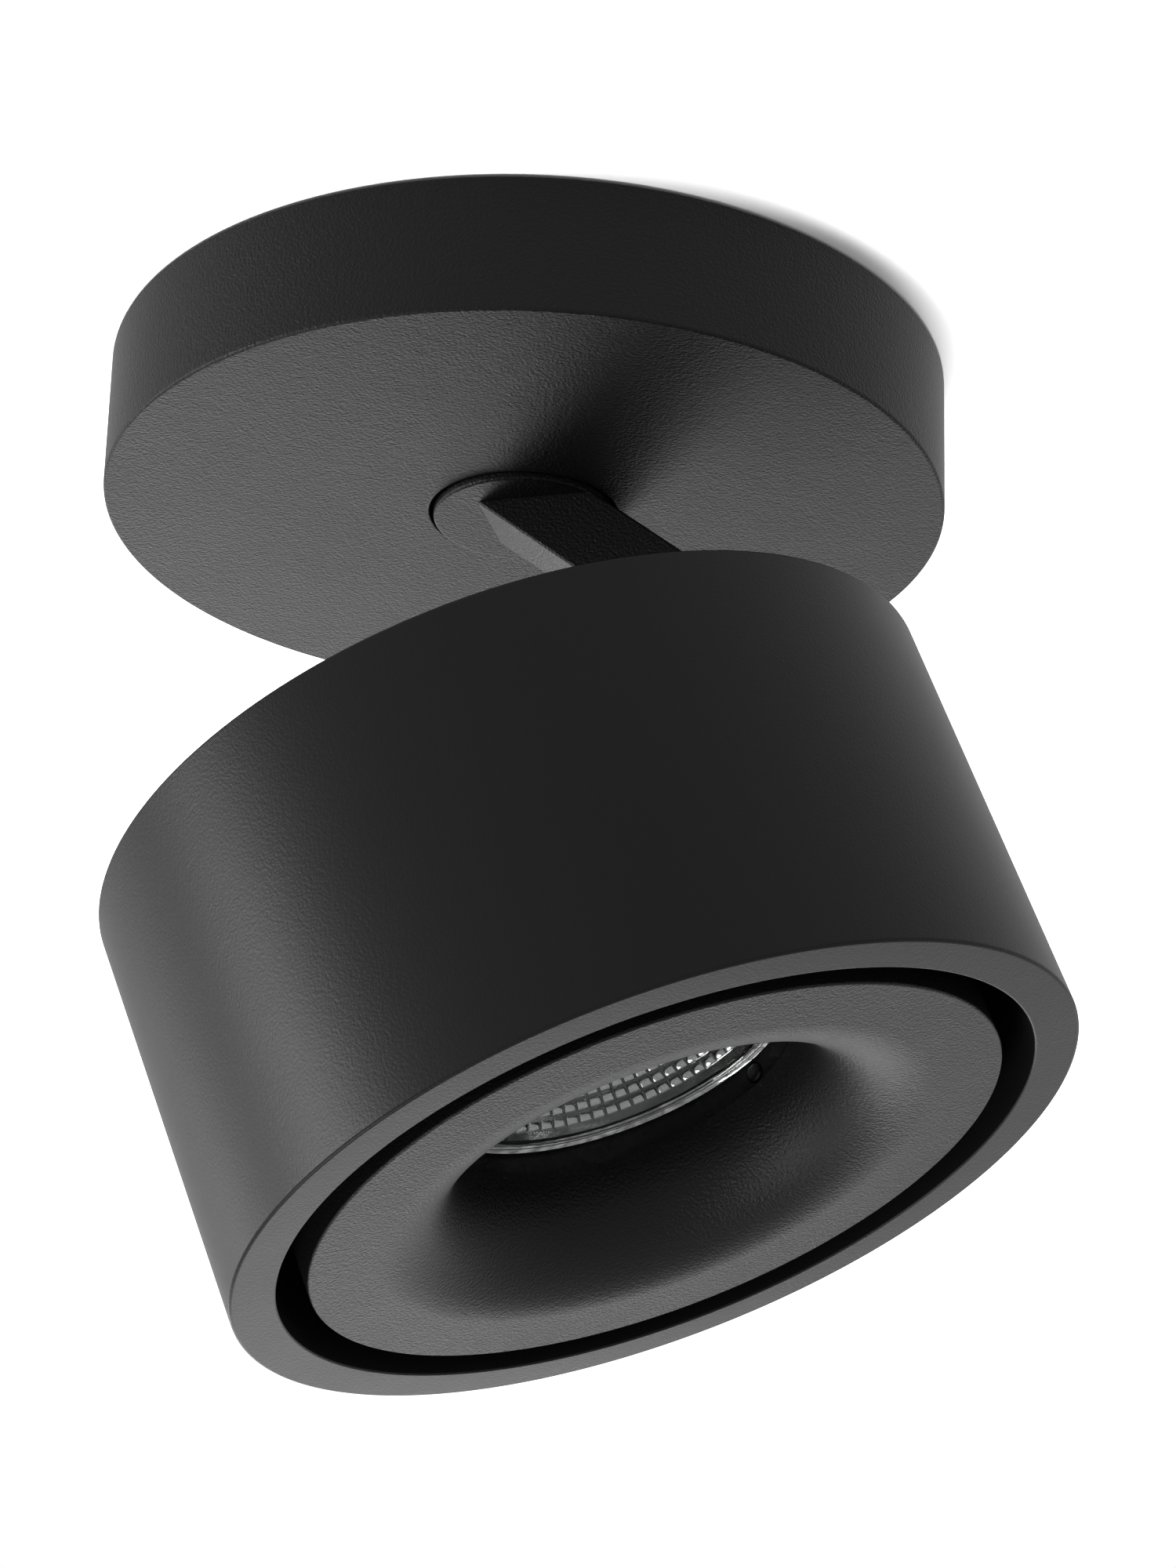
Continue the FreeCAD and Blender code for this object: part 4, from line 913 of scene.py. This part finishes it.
@dataclass
class Housing(Head):
    """The round cup of the head, with the arm's slot in its back."""

    radius: float = 0.05
    length: float = 0.0504
    inside: float = 0.0446
    back: float = 0.0032
    mouth_edge: float = 0.00025
    slot_start: float = 0.02279
    slot_end: float = 0.04714
    slot_half: float = 0.00605
    slot_depth: float = 0.01
    boss_circle: float = 0.034
    boss_radius: float = 0.0035
    boss_low: float = -0.015
    plate_screws: tuple[float, float] = (0.025, 0.0192)
    plate_side: float = 0.0101

    def build(self) -> None:
        """Turns the cup, cuts the slot, adds the bosses and hands it over."""
        piece = turned("head_cup", soften([
            (0, 0, 0),
            (self.radius, 0, SOFT),
            (self.radius, -self.length, SOFT),
            (self.inside, -self.length, self.mouth_edge),
            (self.inside, -self.back, CAST),
            (0, -self.back, 0),
        ]), closed=False)
        for turn in THIRDS:
            spot = spoke(turn + 90) * self.boss_circle
            foot = spot + UP * self.boss_low
            join(piece, bar(self.boss_radius, foot, spot - UP * self.back / 2))
            cut(piece, bar(TAPPED, foot - UP * OVERRUN, foot + UP * self.boss_radius))
        low, high = (self.slot_start, -self.slot_half), (self.slot_end, self.slot_half)
        cut(piece, block((*low, -self.slot_depth), (*high, OVERRUN)), rounded_mouth(low, high, ROUNDED))
        for spot in product(self.plate_screws, (-self.plate_side, self.plate_side)):
            cut(piece, post(spot, TAPPED, -self.back - OVERRUN, -self.back / 4))
        smooth(piece)
        self.give(piece, "powder_coat", "head_housing", relief=0.22)


@dataclass
class FlaredTrim(Head):
    """The drum whose flat face rolls over a quarter circle into the throat."""

    radius: float = 0.0409
    start: float = -0.0185
    face: float = -0.05
    wall: float = 0.0018
    skirt_corner: float = 0.0006
    throat: float = 0.0203
    flare: float = 0.0124
    groove: tuple[float, float] = (-0.0253, -0.0277)
    groove_depth: float = 0.0004

    def build(self) -> None:
        """Turns the trim and hands it over."""
        centre = (self.throat + self.flare, self.face + self.flare)
        skirt = self.radius - self.wall
        piece = turned("flared_trim", soften([
            (self.radius, self.start, EASED),
            (self.radius, self.face, ROUNDED),
            *arc(centre, self.flare, 270, 180, 28),
            *arc(centre, self.flare - self.wall, 180, 270, 20),
            (skirt, self.face + self.wall, self.skirt_corner),
            (skirt, self.groove[1], 0),
            (skirt + self.groove_depth, self.groove[1], 0),
            (skirt + self.groove_depth, self.groove[0], 0),
            (skirt, self.groove[0], 0),
            (skirt, self.start, EASED),
        ]))
        smooth(piece)
        self.give(piece, "powder_coat", "trim_ring", relief=0.8)


@dataclass
class Optic(Head):
    """The faceted reflector, its clear cover, the glossy tube round them and the pins that hold the cover."""

    entry: float = 0.008
    mouth: float = 0.0201
    back: float = -0.0164
    bowl_depth: float = 0.0146
    rows: int = 12
    columns: int = 76
    bowl_wall: float = 0.0009
    flange: float = 0.001
    ledge: float = 0.00006
    dome: tuple[Point, ...] = ((0.08, 0.06), (0.1, 0.05), (0.1, 0.03), (0.1, 0.012))
    crease: float = math.radians(32)
    lens_radius: float = 0.02195
    lens_front: float = -0.034
    lens_thickness: float = 0.002
    lens_step: float = 0.00015
    bore: float = 0.0223
    barrel_wall: float = 0.0019
    barrel_start: float = -0.0185
    barrel_front: float = -0.038
    foot_radius: float = 0.03
    foot_thickness: float = 0.002
    foot_screws: float = 0.0275
    foot_hole: float = 0.00125
    pin_radius: float = 0.00125
    pin_hole: float = 0.0013
    pin_tip: float = 0.0006
    pin_proud: float = 0.00045
    pin_turn: float = 54.0
    pin_depth: float = -0.03525

    def row(self, number: int) -> Point:
        """The distance from the axis and the height at which a row of facets starts."""
        share = number / self.rows
        out = math.sqrt(self.entry ** 2 + (self.mouth ** 2 - self.entry ** 2) * share)
        return out, self.back - self.bowl_depth * share

    def build_reflector(self) -> None:
        """Spins the bowl, with a narrow ledge between its rows, and pillows every facet."""
        inner: list[Point] = []
        for number in range(self.rows + 1):
            out, height = self.row(number)
            edges = (0,) if number in (0, self.rows) else (-1, 1)
            inner += [(out, height - edge * self.ledge) for edge in edges]
        rim = self.back - self.bowl_depth
        outer = self.mouth + self.bowl_wall
        narrow = (self.mouth + self.entry) / 2 + self.bowl_wall
        piece = turned("faceted_reflector", [
            *inner,
            (self.mouth, rim - self.flange),
            (self.lens_radius, rim - self.flange),
            (self.lens_radius, rim),
            (outer, rim),
            (narrow, self.back),
        ], segments=self.columns)
        for number in range(self.rows):
            (near, top), (far, low) = self.row(number), self.row(number + 1)
            cell = math.tau * (near + far) / 2 / self.columns
            middle = (top + low) / 2
            reach = (top - low) / 2 - self.ledge * 1.5

            def in_row(spot: Vector, normal: Vector) -> bool:
                """Whether a face is a facet of this row."""
                inside = normal.x * spot.x + normal.y * spot.y < 0
                return inside and abs(spot.z - middle) < reach and spot.xy.length < self.mouth

            with editing(piece):
                pick(piece, "FACE", in_row)
                for inward, rise in self.dome:
                    bpy.ops.mesh.inset(thickness=cell * inward, depth=cell * rise, use_individual=True)
        take(piece)
        bpy.ops.object.shade_smooth_by_angle(angle=self.crease)
        self.give(piece, "metallised", "reflector")

    def build_lens(self) -> None:
        """Turns the clear cover with its raised rim."""
        front, back, step = self.lens_front, self.lens_front + self.lens_thickness, self.lens_step
        piece = turned("lens_cover", soften([
            (0, back, 0),
            (self.lens_radius, back, BROKEN),
            (self.lens_radius, front, ROUNDED),
            (self.mouth, front, CRISP),
            (self.mouth - step, front + step, CRISP),
            (0, front + step, 0),
        ]), closed=False)
        smooth(piece)
        self.give(piece, "clear_cover", "lens")

    def build_barrel(self) -> None:
        """Turns the glossy tube on its foot and drills it."""
        outer = self.bore + self.barrel_wall
        foot = self.barrel_start - self.foot_thickness
        piece = turned("barrel_tube", soften([
            (self.bore, self.barrel_start, EASED),
            (self.bore, self.barrel_front, ROUNDED),
            (outer, self.barrel_front, ROUNDED),
            (outer, foot, SOFT),
            (self.foot_radius, foot, ROUNDED),
            (self.foot_radius, self.barrel_start, EASED),
        ]))
        for turn in THIRDS:
            spot = spoke(turn + 180) * self.foot_screws
            low, high = UP * (foot - OVERRUN), UP * (self.barrel_start + OVERRUN)
            cut(piece, bar(self.foot_hole, spot + low, spot + high))
            level, outward = UP * self.pin_depth, spoke(turn + self.pin_turn)
            cut(piece, bar(self.pin_hole, level + outward * (self.bore - OVERRUN),
                           level + outward * (outer + OVERRUN)))
        smooth(piece)
        self.give(piece, "black_gloss", "optic_barrel")

    def build_pins(self) -> None:
        """Models one pin with a rounded tip and copies it round the tube."""
        length = self.pin_proud + self.barrel_wall
        pins: list[Piece] = []
        for turn in THIRDS:
            pin = turned("cover_pin", soften([
                (0, 0, 0),
                (self.pin_radius, 0, self.pin_tip),
                (self.pin_radius, length, EASED),
                (0, length, 0),
            ], steps=6), closed=False, segments=32)
            around = Matrix.Rotation(math.radians(turn + self.pin_turn), 4, "Z")
            start = Matrix.Translation((self.bore - self.pin_proud, 0, self.pin_depth))
            place(pin, around @ start @ Matrix.Rotation(math.pi / 2, 4, "Y"))
            pins.append(pin)
        take(pins[0])
        for pin in pins[1:]:
            pin.select_set(True)
        bpy.ops.object.join()
        smooth(pins[0])
        pins[0].name = "cover_pins"
        self.give(pins[0], "black_steel", "lens_retainers")

    def build(self) -> None:
        """Builds the four pieces."""
        self.build_reflector()
        self.build_lens()
        self.build_barrel()
        self.build_pins()


@dataclass
class Fittings:
    """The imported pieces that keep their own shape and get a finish."""

    def build(self) -> None:
        """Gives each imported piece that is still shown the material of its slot."""
        for part in frame["record"]["subparts"]:
            piece, slot = frame["nodes"][part["node"]], part["material_slot"]
            if piece.hide_render:
                continue
            for holder in piece.material_slots:
                holder.material = finish(slot)


def link_group(name: str, piece: str, state: str) -> bpy.types.Collection:
    """Makes a collection that tells a lamp how to treat an object.

    Args:
        name: the collection's name.
        piece: the object's name.
        state: INCLUDE or EXCLUDE.

    Returns:
        The collection.
    """
    group = bpy.data.collections.new(name)
    group.objects.link(bpy.data.objects[piece])
    group.collection_objects[0].light_linking.link_state = state
    return group


@dataclass(frozen=True)
class Lamp:
    """A soft square lamp that faces the object, and that lights either all but the ceiling or only that.

    Azimuth is its direction from the object, in degrees from +X towards +Y, and drop is how far below the
    level it lies, in degrees too.
    """

    name: str
    azimuth: float
    drop: float
    power: float
    size: float = 0.45
    for_ceiling: bool = False
    away: float = 1.15
    middle: float = -0.06
    target: Corner = (0.01, 0.0, -0.05)

    def build(self) -> None:
        """Adds the lamp to the scene."""
        light = bpy.data.lights.new(self.name, "AREA")
        light.size, light.energy = self.size, self.power
        holder = bpy.data.objects.new(self.name, light)
        bpy.context.scene.collection.objects.link(holder)
        drop = math.radians(self.drop)
        level = spoke(self.azimuth) * math.cos(drop)
        holder.location = UP * self.middle + (level - UP * math.sin(drop)) * self.away
        holder.rotation_mode = "QUATERNION"
        towards = Vector(self.target) - holder.location
        holder.rotation_quaternion = towards.to_track_quat("-Z", "Y")
        holder.visible_camera = False
        links, state = holder.light_linking, "INCLUDE" if self.for_ceiling else "EXCLUDE"
        links.receiver_collection = link_group(f"{self.name} reach", "ceiling", state)
        if self.for_ceiling:
            links.blocker_collection = link_group(f"{self.name} shadow", "canopy_cup", "INCLUDE")


def rays(graph: Graph, *kinds: str) -> Socket:
    """Adds the mask of some kinds of rays, so that a backdrop can show itself only to them.

    Args:
        graph: the node tree.
        *kinds: the rays, each by the name of its output.

    Returns:
        The mask.
    """
    path = graph.add("ShaderNodeLightPath")
    mask = path.outputs[kinds[0]]
    for kind in kinds[1:]:
        mask = graph.math("MAXIMUM", mask, path.outputs[kind])
    return mask


@dataclass
class Studio:
    """The white ceiling, the soft lamps, the ambient light and the camera."""

    ceiling_height: float = 0.0003
    span: float = 12.0
    ceiling_tone: Colour = (0.5, 0.5, 0.5)
    ceiling_fade: Point = (0.25, 0.6)
    ambient: float = 0.9
    lens: float = 105.75
    sensor: float = 36.0
    spot: Corner = (0.13037, -0.47391, -0.2633)
    heading: float = 14.39
    pitch: float = 23.32
    roll: float = 1.581
    clip: Point = (0.01, 50.0)
    lamps: tuple[Lamp, ...] = field(default_factory=lambda: (
        Lamp("left", 200, 5, 21.0),
        Lamp("left_edge", 160, 5, 3.3),
        Lamp("back_edge", 120, 5, 2.7),
        Lamp("back", 100, 22, 2.2),
        Lamp("right_edge", 80, 5, 0.8),
        Lamp("below", 185, 69, 9.0),
        Lamp("ceiling_left", 206, 68, 34.0, size=0.4, for_ceiling=True),
        Lamp("ceiling_back", 94, 68, 34.0, size=0.4, for_ceiling=True),
    ))

    def ceiling_material(self) -> bpy.types.Material:
        """A matt surface that is plain white far off and to gloss and glass, and that is clear from behind.

        Returns:
            The material.
        """
        material = bpy.data.materials.new("ceiling_white")
        material.use_nodes = True
        graph = Graph(material.node_tree)
        graph.tree.nodes.clear()
        matt = graph.add("ShaderNodeBsdfDiffuse")
        matt.inputs["Color"].default_value = (*self.ceiling_tone, 1)
        glow = graph.add("ShaderNodeEmission")
        away = graph.add("ShaderNodeVectorMath", operation="LENGTH")
        graph.link(graph.add("ShaderNodeTexCoord").outputs["Object"], away.inputs[0])
        fade = graph.add("ShaderNodeMapRange", interpolation_type="SMOOTHSTEP")
        graph.link(away.outputs["Value"], fade.inputs["Value"])
        fade.inputs["From Min"].default_value, fade.inputs["From Max"].default_value = self.ceiling_fade
        seen = rays(graph, "Is Camera Ray")
        far = graph.math("MULTIPLY", fade.outputs["Result"], seen)
        mirrored = rays(graph, "Is Glossy Ray", "Is Transmission Ray")
        front = graph.add("ShaderNodeMixShader")
        graph.link(graph.math("MAXIMUM", mirrored, far), front.inputs["Fac"])
        graph.link(matt.outputs[0], front.inputs[1])
        graph.link(glow.outputs[0], front.inputs[2])
        both = graph.add("ShaderNodeMixShader")
        behind = graph.add("ShaderNodeNewGeometry").outputs["Backfacing"]
        graph.link(behind, both.inputs["Fac"])
        graph.link(front.outputs[0], both.inputs[1])
        graph.link(graph.add("ShaderNodeBsdfTransparent").outputs[0], both.inputs[2])
        graph.link(both.outputs[0], graph.add("ShaderNodeOutputMaterial").inputs["Surface"])
        return material

    def ceiling(self) -> None:
        """Adds the ceiling, which faces down."""
        bpy.ops.object.select_all(action="DESELECT")
        bpy.ops.mesh.primitive_plane_add(size=self.span, location=(0, 0, self.ceiling_height))
        piece = bpy.context.object
        piece.name = "ceiling"
        with editing(piece):
            bpy.ops.mesh.select_all(action="SELECT")
            bpy.ops.mesh.flip_normals()
        piece.data.materials.append(self.ceiling_material())

    def surroundings(self) -> None:
        """Makes the world white where it is seen, and a plain grey light elsewhere."""
        world = bpy.data.worlds.new("studio")
        bpy.context.scene.world = world
        world.use_nodes = True
        graph = Graph(world.node_tree)
        back = world.node_tree.nodes["Background"]
        back.inputs["Color"].default_value = (1, 1, 1, 1)
        seen = rays(graph, "Is Camera Ray", "Is Glossy Ray", "Is Transmission Ray")
        gain = graph.math("MULTIPLY", seen, 1 - self.ambient)
        graph.link(graph.math("ADD", gain, self.ambient), back.inputs["Strength"])

    def camera(self) -> None:
        """Adds the camera at the place that the ellipses of the canopy and the head gave."""
        data = bpy.data.cameras.new("camera")
        data.sensor_width, data.lens = self.sensor, self.lens
        data.clip_start, data.clip_end = self.clip
        holder = bpy.data.objects.new("camera", data)
        bpy.context.scene.collection.objects.link(holder)
        turn = Matrix.Identity(4)
        for angle, axis in ((self.heading, "Z"), (90 + self.pitch, "X"), (self.roll, "Z")):
            turn = turn @ Matrix.Rotation(math.radians(angle), 4, axis)
        holder.matrix_world = Matrix.Translation(self.spot) @ turn
        bpy.context.scene.camera = holder

    def build(self) -> None:
        """Sets up everything round the lamp."""
        self.ceiling()
        self.surroundings()
        for lamp in self.lamps:
            lamp.build()
        self.camera()
        bpy.context.scene.view_settings.view_transform = "Standard"


def main() -> None:
    """Builds the lamp from the ceiling down, and then the studio."""
    logging.basicConfig(level=logging.INFO, format="%(message)s")
    for assembly in (Canopy(), SwivelArm(), Housing(), FlaredTrim(), Optic(), Fittings(), Studio()):
        LOG.info("building %s", type(assembly).__name__)
        assembly.build()


if __name__ == "__main__":
    main()
